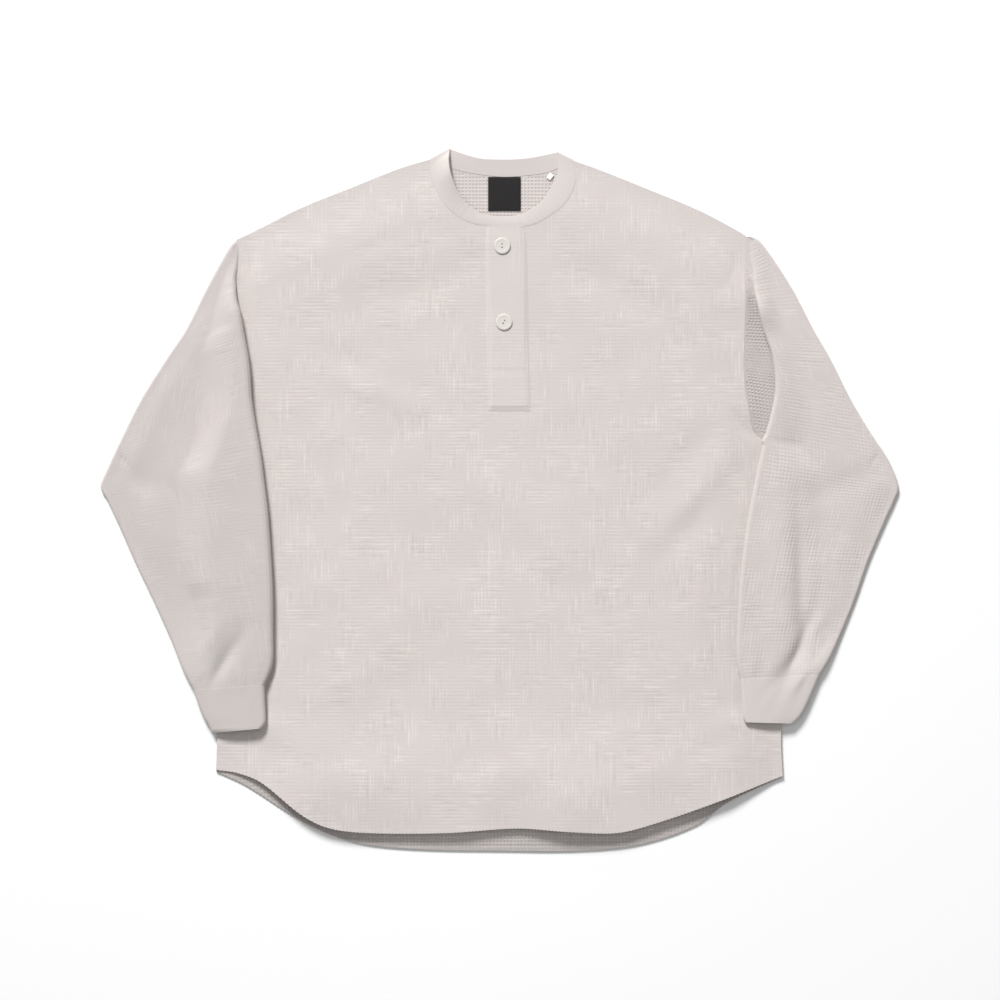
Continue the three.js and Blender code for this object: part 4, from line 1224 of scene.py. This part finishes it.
def rib_material(name, colour, groups):
    """Fine rib cotton, smooth beside the waffle."""
    material, tree, shader = shaded(name, 0.88, sheen=0.18, sheen_roughness=0.55, specular=0.25)
    yarn = group_node(tree, groups["yarn"], (-800, -300), {"Yarns per metre": 1300.0, "Fuzz": 0.6})
    streaks = group_node(tree, groups["streaks"], (-800, 0), {"Pitch": 0.0017, "Run": 14.0, "Even": 1.0})
    tone = maths(tree, "MULTIPLY", streaks.outputs["Tone"], 0.04, (-600, 60))
    patch = maths(tree, "MULTIPLY", streaks.outputs["Patches"], 0.05, (-600, -100))
    fuzz = maths(tree, "MULTIPLY", yarn.outputs["Tone"], 0.08, (-600, -240))
    total = maths(tree, "ADD", tone, patch, (-440, 0))
    total = maths(tree, "ADD", total, fuzz, (-320, 0))
    total = maths(tree, "ADD", total, 1.0, (-200, 0))
    link(tree, toned(tree, colour, total, (-40, 100)), shader.inputs["Base Color"])
    link(tree, bump(tree, yarn.outputs["Height"], 0.4, 0.0002, (-240, -300)), shader.inputs["Normal"])
    return material


def tape_material(name, colour, groups, roughness, yarns):
    """Woven tape of a label, bare."""
    material, tree, shader = shaded(name, roughness, sheen=0.05, specular=0.3)
    yarn = group_node(tree, groups["yarn"], (-800, -300), {"Yarns per metre": yarns, "Fuzz": 0.35})
    fuzz = maths(tree, "MULTIPLY", yarn.outputs["Height"], 0.5, (-600, 0))
    total = maths(tree, "ADD", fuzz, 1.0, (-440, 0))
    link(tree, toned(tree, colour, total, (-240, 100)), shader.inputs["Base Color"])
    link(tree, bump(tree, yarn.outputs["Height"], 0.5, 0.0002, (-240, -300)), shader.inputs["Normal"])
    return material


def thread_material(name, colour, groups):
    """Sewing thread, a shade off the cloth."""
    material, tree, shader = shaded(name, 0.6, sheen=0.1, specular=0.35)
    place = add_node(tree, "ShaderNodeTexCoord", (-900, 0))
    noise = add_node(tree, "ShaderNodeTexNoise", (-720, 0), {"Scale": 2200.0, "Detail": 2.0})
    link(tree, place.outputs["Object"], noise.inputs["Vector"])
    tone = maths(tree, "MULTIPLY_ADD", noise.outputs["Fac"], 0.16, (-540, 0))
    tone.node.inputs[2].default_value = 0.92
    link(tree, toned(tree, colour, tone, (-240, 100)), shader.inputs["Base Color"])
    link(tree, bump(tree, noise.outputs["Fac"], 0.4, 0.0001, (-240, -200)), shader.inputs["Normal"])
    return material


def shell_material(name, colour):
    """Satin pale shell of the buttons, with faint cloudy growth lines."""
    material, tree, shader = shaded(name, 0.42, specular=0.4, coat=0.12)
    shader.inputs["Coat Roughness"].default_value = 0.25
    place = add_node(tree, "ShaderNodeTexCoord", (-1100, 0))
    stretch = add_node(tree, "ShaderNodeMapping", (-920, 0),
        {"Scale": (1.0, 3.2, 1.0), "Rotation": (0.0, 0.0, 0.6)})
    noise = add_node(tree, "ShaderNodeTexNoise", (-720, 0),
        {"Scale": 130.0, "Detail": 4.0, "Distortion": 1.2})
    link(tree, place.outputs["Object"], stretch.inputs["Vector"])
    link(tree, stretch.outputs["Vector"], noise.inputs["Vector"])
    tone = maths(tree, "MULTIPLY_ADD", noise.outputs["Fac"], 0.18, (-540, 0))
    tone.node.inputs[2].default_value = 0.92
    link(tree, toned(tree, colour, tone, (-240, 100)), shader.inputs["Base Color"])
    rough = maths(tree, "MULTIPLY_ADD", noise.outputs["Fac"], 0.2, (-540, -200))
    rough.node.inputs[2].default_value = 0.24
    link(tree, rough, shader.inputs["Roughness"])
    link(tree, bump(tree, noise.outputs["Fac"], 0.15, 0.0001, (-240, -300)), shader.inputs["Normal"])
    return material


kit = {}


def shade(colour, tone):
    return tuple(tone * part for part in colour)


def make_kit(settings):
    """The node groups, geometry trees and materials that the pieces share."""
    groups = {"yarn": yarn_group(), "streaks": streak_group()}
    thread = shade(settings.rib_colour, 0.96)
    # cells is painted shade on the cell floors. The back's lower tone offsets its lighter ridges and is painted
    # shade for its strip under the front hem, and its strong cells are painted shade that keeps the cells
    # showing in that shadow
    for name, tone, lines, cells, even in (
        ("waffle", 1.0, 0.54, 0.02, 0.0), ("waffle_placket", settings.placket_shade, 0.2, 0.01, 0.0),
        # Painted shade: the sleeve materials are shaded copies of the body's waffle, each darkened by its
        # side's tone
        ("waffle_sleeve_left", settings.left_painted_shade, 0.36, 0.02, 0.0),
        ("waffle_sleeve_right", settings.right_painted_shade, 0.42, 0.03, 0.2), ("waffle_back", 0.9, 0.3, 0.15, 1.0),
    ):
        colour = shade(settings.cloth_colour, tone)
        kit[name] = waffle_material(name + "_cotton", colour, groups, settings.waffle_pitch, cells, lines,
            even)
    kit.update(
        waffle_relief=waffle_tree(),
        rib_relief=rib_tree(),
        stitch=stitch_tree(),
        rib=rib_material("rib_cotton", settings.rib_colour, groups),
        # Painted shade: the cuffs are darkened like their sleeves, and the left cuff by a further 0.95
        rib_cuff_left=rib_material("rib_cotton_left", shade(settings.rib_colour, 0.95 * settings.left_painted_shade),
            groups),
        rib_cuff_right=rib_material("rib_cotton_right", shade(settings.rib_colour, settings.right_painted_shade),
            groups),
        black=tape_material("black_tape", settings.label_colour, groups, 0.75, 1700.0),
        white=tape_material("white_tape", (0.82, 0.81, 0.78), groups, 0.55, 2200.0),
        thread=thread_material("cotton_thread", thread, groups),
        shell=shell_material("pale_shell", settings.button_colour),
    )


def dress(piece, node):
    """Attach a finished sheet of cloth to its body and hide the frame part that it stands for."""
    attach(piece, "root")
    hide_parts(node)
    return piece


def waffled(piece, settings, depth, material="waffle", patchy=0.85):
    return grow(piece, kit["waffle_relief"], {
        "Depth": settings.waffle_depth * depth, "Unevenness": settings.waffle_uneven, "Patchiness": patchy,
        "Seed": settings.seed, "Material": kit[material],
    })


def ribbed(piece, settings, material="rib"):
    return grow(piece, kit["rib_relief"], {"Depth": settings.rib_depth, "Material": kit[material]})


class TOP_OT_panels(bpy.types.Operator):
    """Back and front panels, cut from waffle knit"""

    bl_idname = "top.panels"
    bl_label = "Body panels"

    def execute(self, context):
        settings = context.scene.thermal_top
        pitch = settings.waffle_pitch / MM
        for name, node, hem, neck, level, rests, depth, material, patchy, shade in (
            ("waffle_back", "back_panel", hem_back, neck_back, back_level, (), 3.5, "waffle_back", 0.0, 1.7),
            ("waffle_front", "front_panel", hem_front, neck_front, front_level, ("waffle_back",), 1.0,
             "waffle", 0.85, 0.0),
        ):
            outline = panel_outline(hem, neck, pitch, 0.45)
            flat, quads, triangles, cells = trimmed_lattice(outline, pitch)
            points = np.column_stack([flat, level(flat[:, 0], flat[:, 1])])
            # Painted shade: the back panel's strip just above its hem lies in the front hem's shadow, so its
            # colour is darkened through the inside attribute by up to shade (1.7); the front gets none
            over_hem = flat[:, 1] - hem(flat[:, 0]).y
            inside = shade * (1 - soft(over_hem / HEM_SHADE_REACH))
            piece = cloth_wall(name, points, quads, triangles, cells, flat, WALL, inside=inside)
            waffled(piece, settings, depth, material, patchy)
            dress(piece, node)
        return {"FINISHED"}


class TOP_OT_sleeves(bpy.types.Operator):
    """Two sleeves, each a tube of waffle knit folded over the body's side"""

    bl_idname = "top.sleeves"
    bl_label = "Sleeves"

    def execute(self, context):
        settings = context.scene.thermal_top
        pitch = settings.waffle_pitch / MM
        for name, node, table, armhole, left, lie, depth in (
            ("waffle_sleeve_left", "sleeve_left", SLEEVE_LEFT, armhole_left, True, LIE_LEFT, 0.8),
            ("waffle_sleeve_right", "sleeve_right", SLEEVE_RIGHT, armhole_right, False, LIE_RIGHT, 1.9),
        ):
            tube = Tube(table, armhole, ARMPIT, lie)
            points, quads, triangles, cells, grain, inside = sleeve_mesh(tube, pitch)
            if left:
                quads, triangles = flipped(quads), flipped(triangles)
            piece = cloth_wall(name, points, quads, triangles, cells, grain, WALL, inside=inside)
            waffled(piece, settings, depth, name)
            dress(piece, node)
        return {"FINISHED"}


class TOP_OT_cuffs(bpy.types.Operator):
    """Two rib cuffs, each a tube"""

    bl_idname = "top.cuffs"
    bl_label = "Cuffs"

    def execute(self, context):
        settings = context.scene.thermal_top
        for name, node, table, armhole, left, lie in (
            ("rib_cuff_left", "cuff_left", CUFF_LEFT, armhole_left, True, LIE_LEFT),
            ("rib_cuff_right", "cuff_right", CUFF_RIGHT, armhole_right, False, LIE_RIGHT),
        ):
            tube = Tube(table, armhole, 0, lie, cuff=True)
            stations = edged(22, 0.005)
            columns = 440
            points, grain, ribs = [], [], []
            length = 0.0
            for row, station in enumerate(stations):
                path, distance, _, zero = tube.section(tube.last * station, 8, 6)
                marks = np.linspace(0, distance[-1], columns + 1)
                line = np.stack([np.interp(marks, distance, path[:, axis]) for axis in range(3)], axis=1)
                line[-1] = line[0]
                line[:, 1] += CUFF_LAP * (row == 0)
                if row:
                    length += float(np.linalg.norm(line - points[-columns - 1:], axis=1).mean())
                else:
                    count = round(distance[-1] / (settings.rib_pitch / MM))
                points.extend(line)
                grain.extend(np.column_stack([marks - zero, np.full(columns + 1, -length)]))
                ribs.extend(count * np.arange(columns + 1) / columns)
            faces = grid_faces(len(stations), columns + 1)
            if left:
                faces = flipped(faces)
            points = np.array(points)
            grain = np.array(grain)
            cells = [False] * len(faces)
            piece = cloth_wall(name, points, faces, [], cells, grain, WALL, smooth=True, rib=ribs)
            ribbed(piece, settings, name)
            dress(piece, node)
        return {"FINISHED"}


class TOP_OT_neck_band(bpy.types.Operator):
    """Rib band round the neck, one ring"""

    bl_idname = "top.neck_band"
    bl_label = "Neck band"

    def execute(self, context):
        settings = context.scene.thermal_top
        steps, fold_steps = 200, 8
        part = edged(16, 0.02)
        across = len(part) - 1
        sink = BAND_SINK * (1 - soft(part / BAND_SINK_WIDTH))

        def line(row, height):
            width = math.hypot(row.free_x - row.seam_x, row.free_y - row.seam_y)
            reach = lerp(-SEAM_LAP / width, 1, part)
            return np.stack([lerp(row.seam_x, row.free_x, reach), lerp(row.seam_y, row.free_y, reach),
                height], axis=1)

        front, back = [], []
        for step in range(steps + 1):
            row = neck_front(step / steps)
            lift = BAND_LIFT * math.sin(math.pi * step / steps)
            gape = math.exp(-(((step / steps - BAND_GAPE_AT) / BAND_GAPE_SPAN) ** 2))
            lift += BAND_GAPE * gape * min(step / 12, 1)
            crown = BAND_CROWN * np.sin(math.pi * part)
            level = float(front_level(row.seam_x, row.seam_y)) + SEAM_STEP - sink
            front.append(line(row, level + lift * part**1.3 + crown))
        for step in range(steps, -1, -1):
            lift = BAND_BACK_LIFT * math.sin(math.pi * step / steps)
            back.append(line(neck_back(step / steps), BACK_LEVEL + SEAM_STEP + lift * part))

        def fold(start, end, side):
            run = start[-1] - start[0]
            outward = unit(np.array([run[1], -run[0], 0.0])) * side
            made = []
            for step in range(1, fold_steps):
                turn = math.pi * step / fold_steps
                radius = (start[:, 2] - end[:, 2]) / 2
                middle = (start + end) / 2
                middle[:, 2] += radius * math.cos(turn)
                made.append(middle + outward * (BAND_FOLD_OUT * np.abs(radius) * math.sin(turn))[:, None])
            return made

        lines = [*front, *fold(front[-1], back[0], 1), *back, *fold(back[-1], front[0], -1), front[0]]
        points = np.array(lines)
        middle = points[:, across // 2]
        along = np.concatenate([[0], np.cumsum(np.linalg.norm(np.diff(middle, axis=0), axis=1))])
        count = round(along[-1] / (settings.rib_pitch / MM))
        ribs = np.repeat(count * along / along[-1], across + 1)
        widths = np.concatenate([np.zeros((len(lines), 1)),
                                 np.cumsum(np.linalg.norm(np.diff(points, axis=1), axis=2), axis=1)], axis=1)
        grain = np.column_stack([np.repeat(along, across + 1), widths.ravel()])
        points = points.reshape(-1, 3)
        faces = grid_faces(len(lines), across + 1)
        piece = cloth_wall(
            "rib_neck_band", points, faces, [], [False] * len(faces), grain, WALL, smooth=True, rib=ribs)
        ribbed(piece, settings)
        dress(piece, "neck_band")
        return {"FINISHED"}


class TOP_OT_placket(bpy.types.Operator):
    """Outer strip of the front placket"""

    bl_idname = "top.placket"
    bl_label = "Placket"

    def execute(self, context):
        settings = context.scene.thermal_top
        pitch = settings.waffle_pitch / MM
        corners = np.array([
            (PLACKET["left"][1], PLACKET["bottom"]), (PLACKET["right"][1], PLACKET["bottom"]),
            (PLACKET["right"][0], PLACKET["top"]), (PLACKET["left"][0], PLACKET["top"]),
            (PLACKET["left"][1], PLACKET["bottom"]),
        ])
        sides = [respaced(corners[side:side + 2], 1.5)[:-1] for side in range(4)]
        outline = np.vstack(sides)
        flat, quads, triangles, cells = trimmed_lattice(outline, pitch)
        points = np.column_stack([flat, placket_level(flat[:, 0], flat[:, 1], outline)])
        piece = cloth_wall("placket_strip", points, quads, triangles, cells, flat, PLACKET_WALL)
        waffled(piece, settings, 0.4, "waffle_placket")
        dress(piece, "placket")
        return {"FINISHED"}


def placket_level(x, y, outline=None):
    """Height of the middle of the placket strip, pressed down along its edges and its box line."""
    rise = WALL / 2 + PLACKET_EASE + PLACKET_WALL / 2
    left = np.interp(y, (PLACKET["bottom"], PLACKET["top"]), PLACKET["left"][::-1])
    right = np.interp(y, (PLACKET["bottom"], PLACKET["top"]), PLACKET["right"][::-1])
    edge = np.minimum(np.minimum(x - left, right - x), (y - PLACKET["bottom"]) * 0.75)
    line = np.abs(y - PLACKET["box_line"])
    puff = 0.45 * soft(edge / 6) * soft(line / 3.5)
    pressed = -0.9 * (1 - soft(edge / 5.0)) - 0.6 * (1 - soft((PLACKET["top"] - y) / 20))
    return front_level(x, y) + rise + puff + pressed


class TOP_OT_labels(bpy.types.Operator):
    """Bare black neck label and bare white care tab"""

    bl_idname = "top.labels"
    bl_label = "Labels"

    def execute(self, context):
        wide = LABEL["right"] - LABEL["left"]
        long = LABEL["top"] - LABEL["bottom"]
        middle = ((LABEL["left"] + LABEL["right"]) / 2, (LABEL["bottom"] + LABEL["top"]) / 2)
        self.patch("black_neck_label", "neck_label", "black_tape", kit["black"], middle, wide, long, 0, 0.35,
            28)
        tab = CARE_TAB
        self.patch("white_care_tab", "care_label", "white_tape", kit["white"], (tab["x"], tab["y"]),
                   tab["wide"], tab["long"], tab["turn"], 0.8, 14)
        return {"FINISHED"}

    def patch(self, name, node, slot, material, middle, wide, long, turn, bow, steps):
        """A patch of tape with pressed edges, its middle bowed up a little."""
        part = np.linspace(-0.5, 0.5, steps + 1)
        across, up = np.meshgrid(part, -part)
        edge = np.minimum(0.5 - np.abs(across), 0.5 - np.abs(up))
        rise = bow * (1 - (2 * up) ** 2) * 0.6 + 0.12 * soft(edge * 12)
        angle = math.radians(turn)
        x = middle[0] + across * wide * math.cos(angle) - up * long * math.sin(angle)
        y = middle[1] + across * wide * math.sin(angle) + up * long * math.cos(angle)
        z = WALL + SEAM + LABEL_WALL / 2 + rise
        points = np.stack([x, y, z], axis=2).reshape(-1, 3)
        grain = np.stack([across * wide, up * long], axis=2).reshape(-1, 2)
        faces = grid_faces(steps + 1, steps + 1)
        piece = cloth_wall(name, points, faces, [], [False] * len(faces), grain, LABEL_WALL, smooth=True)
        piece.data.materials.append(material)
        dress(piece, node)


class TOP_OT_buttons(bpy.types.Operator):
    """Two shell buttons, each with two holes and a dished middle"""

    bl_idname = "top.buttons"
    bl_label = "Buttons"

    def execute(self, context):
        for name, (x, y, turn) in BUTTONS.items():
            low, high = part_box(name)
            radius = (high.x - low.x) / 2 / MM
            thick = BUTTON_THIN * (high.z - low.z) / MM
            base = placket_level(x, y) + PLACKET_WALL / 2 + BUTTON_EASE
            self.button("shell_" + name, name, float(x), float(y), float(base), radius, thick, turn)
        return {"FINISHED"}

    def button(self, name, node, x, y, base, radius, thick, turn):
        profile = [
            (0.0, 0.0), (0.62, 0.0), (0.86, 0.10), (0.97, 0.30), (1.0, 0.52), (0.985, 0.74), (0.94, 0.90),
            (0.88, 0.97), (0.82, 1.0), (0.75, 0.98), (0.67, 0.90), (0.58, 0.85), (0.30, 0.83), (0.0, 0.82),
        ]
        mesh = bmesh.new()
        segments = 64
        rings = []
        for reach, height in profile:
            if reach == 0:
                rings.append([mesh.verts.new((0, 0, height * thick * MM))])
                continue
            rings.append([
                mesh.verts.new((
                    reach * radius * MM * math.cos(2 * math.pi * step / segments),
                    reach * radius * MM * math.sin(2 * math.pi * step / segments), height * thick * MM))
                for step in range(segments)
            ])
        for lower, upper in zip(rings[:-1], rings[1:]):
            for step in range(segments):
                following = (step + 1) % segments
                if len(lower) == 1:
                    mesh.faces.new((lower[0], upper[following], upper[step]))
                elif len(upper) == 1:
                    mesh.faces.new((lower[step], lower[following], upper[0]))
                else:
                    mesh.faces.new((lower[step], lower[following], upper[following], upper[step]))
        bmesh.ops.recalc_face_normals(mesh, faces=mesh.faces)
        data = bpy.data.meshes.new(name)
        mesh.to_mesh(data)
        mesh.free()
        piece = bpy.data.objects.new(name, data)
        bpy.context.scene.collection.objects.link(piece)
        hole = 0.85
        apart = 1.95
        drills = []
        for side in (1, -1):
            bpy.ops.mesh.primitive_cylinder_add(
                vertices=28, radius=hole * MM, depth=4 * thick * MM, location=(side * apart * MM, 0, 0))
            drill = bpy.context.object
            cut = piece.modifiers.new("hole", "BOOLEAN")
            cut.operation = "DIFFERENCE"
            cut.solver = "EXACT"
            cut.object = drill
            drills.append(drill)
        graph = bpy.context.evaluated_depsgraph_get()
        cut_mesh = bpy.data.meshes.new_from_object(piece.evaluated_get(graph), depsgraph=graph)
        piece.modifiers.clear()
        piece.data = cut_mesh
        for drill in drills:
            bpy.data.objects.remove(drill)
        place = Matrix.Translation((x * MM, y * MM, base * MM)) @ Matrix.Rotation(math.radians(turn), 4, "Z")
        piece.data.transform(place)
        piece.data.materials.clear()
        piece.data.materials.append(kit["shell"])
        for face in piece.data.polygons:
            face.use_smooth = abs(face.normal.z) > 0.2 or face.area > 0.4e-6
        piece.data.update()
        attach(piece, "root")
        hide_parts(node)


def thread_lines(lines, name, settings, material, pitch=None, length=None):
    """A piece of stitches along lines of points in millimetres."""
    points, edges = [], []
    for line in lines:
        start = len(points)
        points.extend(line)
        edges.extend((index, index + 1) for index in range(start, len(points) - 1))
    mesh = bpy.data.meshes.new(name)
    mesh.from_pydata((np.array(points) * MM).tolist(), edges, [])
    piece = bpy.data.objects.new(name, mesh)
    bpy.context.scene.collection.objects.link(piece)
    grow(piece, kit["stitch"], {
        "Pitch": pitch or settings.stitch_pitch, "Length": length or settings.stitch_length,
        "Thickness": settings.stitch_thick, "Material": material,
    })
    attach(piece, "root")
    return piece


class TOP_OT_stitching(bpy.types.Operator):
    """Stitches round the placket, along the neck seam and round the label"""

    bl_idname = "top.stitching"
    bl_label = "Stitching"

    def execute(self, context):
        settings = context.scene.thermal_top
        inset = 2.0

        def side(which, sign, low, high):
            y = np.linspace(low, high, 60)
            x = np.interp(y, (PLACKET["bottom"], PLACKET["top"]), PLACKET[which][::-1]) + sign * inset
            return np.column_stack([x, y])

        def level_line(y):
            x = np.linspace(
                np.interp(y, (PLACKET["bottom"], PLACKET["top"]), PLACKET["left"][::-1]) + inset,
                np.interp(y, (PLACKET["bottom"], PLACKET["top"]), PLACKET["right"][::-1]) - inset, 20)
            return np.column_stack([x, np.full(20, y)])

        flat_lines = [
            side("left", 1, PLACKET["bottom"] + inset, PLACKET["top"] - 1),
            side("right", -1, PLACKET["bottom"] + inset, PLACKET["top"] - 1),
            level_line(PLACKET["bottom"] + inset), level_line(PLACKET["box_line"]),
        ]
        lines = []
        for line in flat_lines:
            height = placket_level(line[:, 0], line[:, 1]) + PLACKET_WALL / 2 + 0.05
            lines.append(np.column_stack([line, height]))
        thread_lines(lines, "stitches_placket", settings, kit["thread"])

        outward = 1.6
        neck = []
        for curve, level, sign in ((neck_front, front_level, 1), (neck_back, back_level, 1)):
            at = np.linspace(0.04, 0.96, 160)
            row = curve(at)
            away = unit(np.column_stack([row.seam_x - row.free_x, row.seam_y - row.free_y]))
            x = row.seam_x + sign * outward * away[:, 0]
            y = row.seam_y + sign * outward * away[:, 1]
            clear = (x > PLACKET["right"][0] + 1) | (x < PLACKET["left"][0] - 1) | (level is back_level)
            height = level(x, y) + WALL / 2 - 0.12
            line = np.column_stack([x, y, height])
            breaks = np.nonzero(np.diff(clear.astype(int)))[0] + 1
            for chunk, keep in zip(np.split(line, breaks), np.split(clear, breaks)):
                if keep[0] and len(chunk) > 2:
                    neck.append(chunk)
        thread_lines(neck, "stitches_neck", settings, kit["thread"])

        margin = 1.0
        left, right = LABEL["left"] - margin * 0.6, LABEL["right"] + margin * 0.6
        low, high = LABEL["bottom"] - margin, LABEL["top"] - 1
        height = WALL + 0.15
        corners = np.array([(left, high, height), (left, low, height), (right, low, height),
            (right, high, height)])
        thread_lines([corners], "stitches_label", settings, kit["thread"], 0.0026, 0.0017)
        return {"FINISHED"}


class TOP_OT_stage(bpy.types.Operator):
    """Plain pale floor, soft studio light and the camera straight above"""

    bl_idname = "top.stage"
    bl_label = "Stage"

    def execute(self, context):
        settings = context.scene.thermal_top
        scene = context.scene
        bpy.ops.mesh.primitive_plane_add(size=20, location=(0, 0, -0.0004))
        floor = context.object
        floor.name = "floor"
        material, tree, shader = shaded("pale_floor", 0.85, specular=0.1)
        shader.inputs["Base Color"].default_value = (*settings.floor_colour, 1)
        floor.data.materials.append(material)

        world = bpy.data.worlds.new("even_sky")
        scene.world = world
        world.use_nodes = True
        sky = world.node_tree.nodes["Background"]
        sky.inputs["Color"].default_value = (1, 1, 1, 1)
        sky.inputs["Strength"].default_value = settings.sky_strength

        for name, place, size, power in (
            ("key", (-3.7, 10.6, 7.8), 3.8, settings.key_power),
            ("overhead", (-0.02, -0.08, 0.8), 0.45, settings.fill_power),
        ):
            light = bpy.data.lights.new(name, "AREA")
            light.shape = "DISK"
            light.size = size
            light.energy = power
            lamp = bpy.data.objects.new(name, light)
            lamp.location = place
            aim = Vector((0, 0, 0)) if name == "key" else Vector((place[0], place[1], 0))
            lamp.rotation_euler = (aim - Vector(place)).to_track_quat("-Z", "Y").to_euler()
            lamp.visible_camera = False
            scene.collection.objects.link(lamp)

        frame_width = 1.15
        camera = bpy.data.cameras.new("camera")
        camera.sensor_width = 36
        camera.lens = 130
        distance = frame_width * camera.lens / camera.sensor_width
        eye = bpy.data.objects.new("camera", camera)
        eye.location = (0.0006, -0.0006, distance + 0.006)
        camera.clip_end = 60
        scene.collection.objects.link(eye)
        scene.camera = eye
        scene.view_settings.view_transform = "Standard"
        return {"FINISHED"}


class TOP_PT_sidebar(bpy.types.Panel):
    """Buttons for each piece of the thermal top"""

    bl_idname = "TOP_PT_sidebar"
    bl_label = "Thermal top"
    bl_space_type = "VIEW_3D"
    bl_region_type = "UI"
    bl_category = "Thermal top"

    def draw(self, context):
        settings = context.scene.thermal_top
        for name in TopSettings.__annotations__:
            self.layout.prop(settings, name)
        for operator in OPERATORS:
            self.layout.operator(operator.bl_idname)


OPERATORS = (
    TOP_OT_stage, TOP_OT_panels, TOP_OT_sleeves, TOP_OT_cuffs, TOP_OT_neck_band, TOP_OT_placket,
    TOP_OT_labels,
    TOP_OT_buttons, TOP_OT_stitching,
)
CLASSES = (TopSettings, *OPERATORS, TOP_PT_sidebar)


def register():
    for item in CLASSES:
        bpy.utils.register_class(item)
    bpy.types.Scene.thermal_top = PointerProperty(type=TopSettings)


def unregister():
    del bpy.types.Scene.thermal_top
    for item in reversed(CLASSES):
        bpy.utils.unregister_class(item)


def main():
    register()
    make_kit(bpy.context.scene.thermal_top)
    for operator in OPERATORS:
        namespace, action = operator.bl_idname.split(".")
        getattr(getattr(bpy.ops, namespace), action)()


if __name__ == "__main__":
    main()
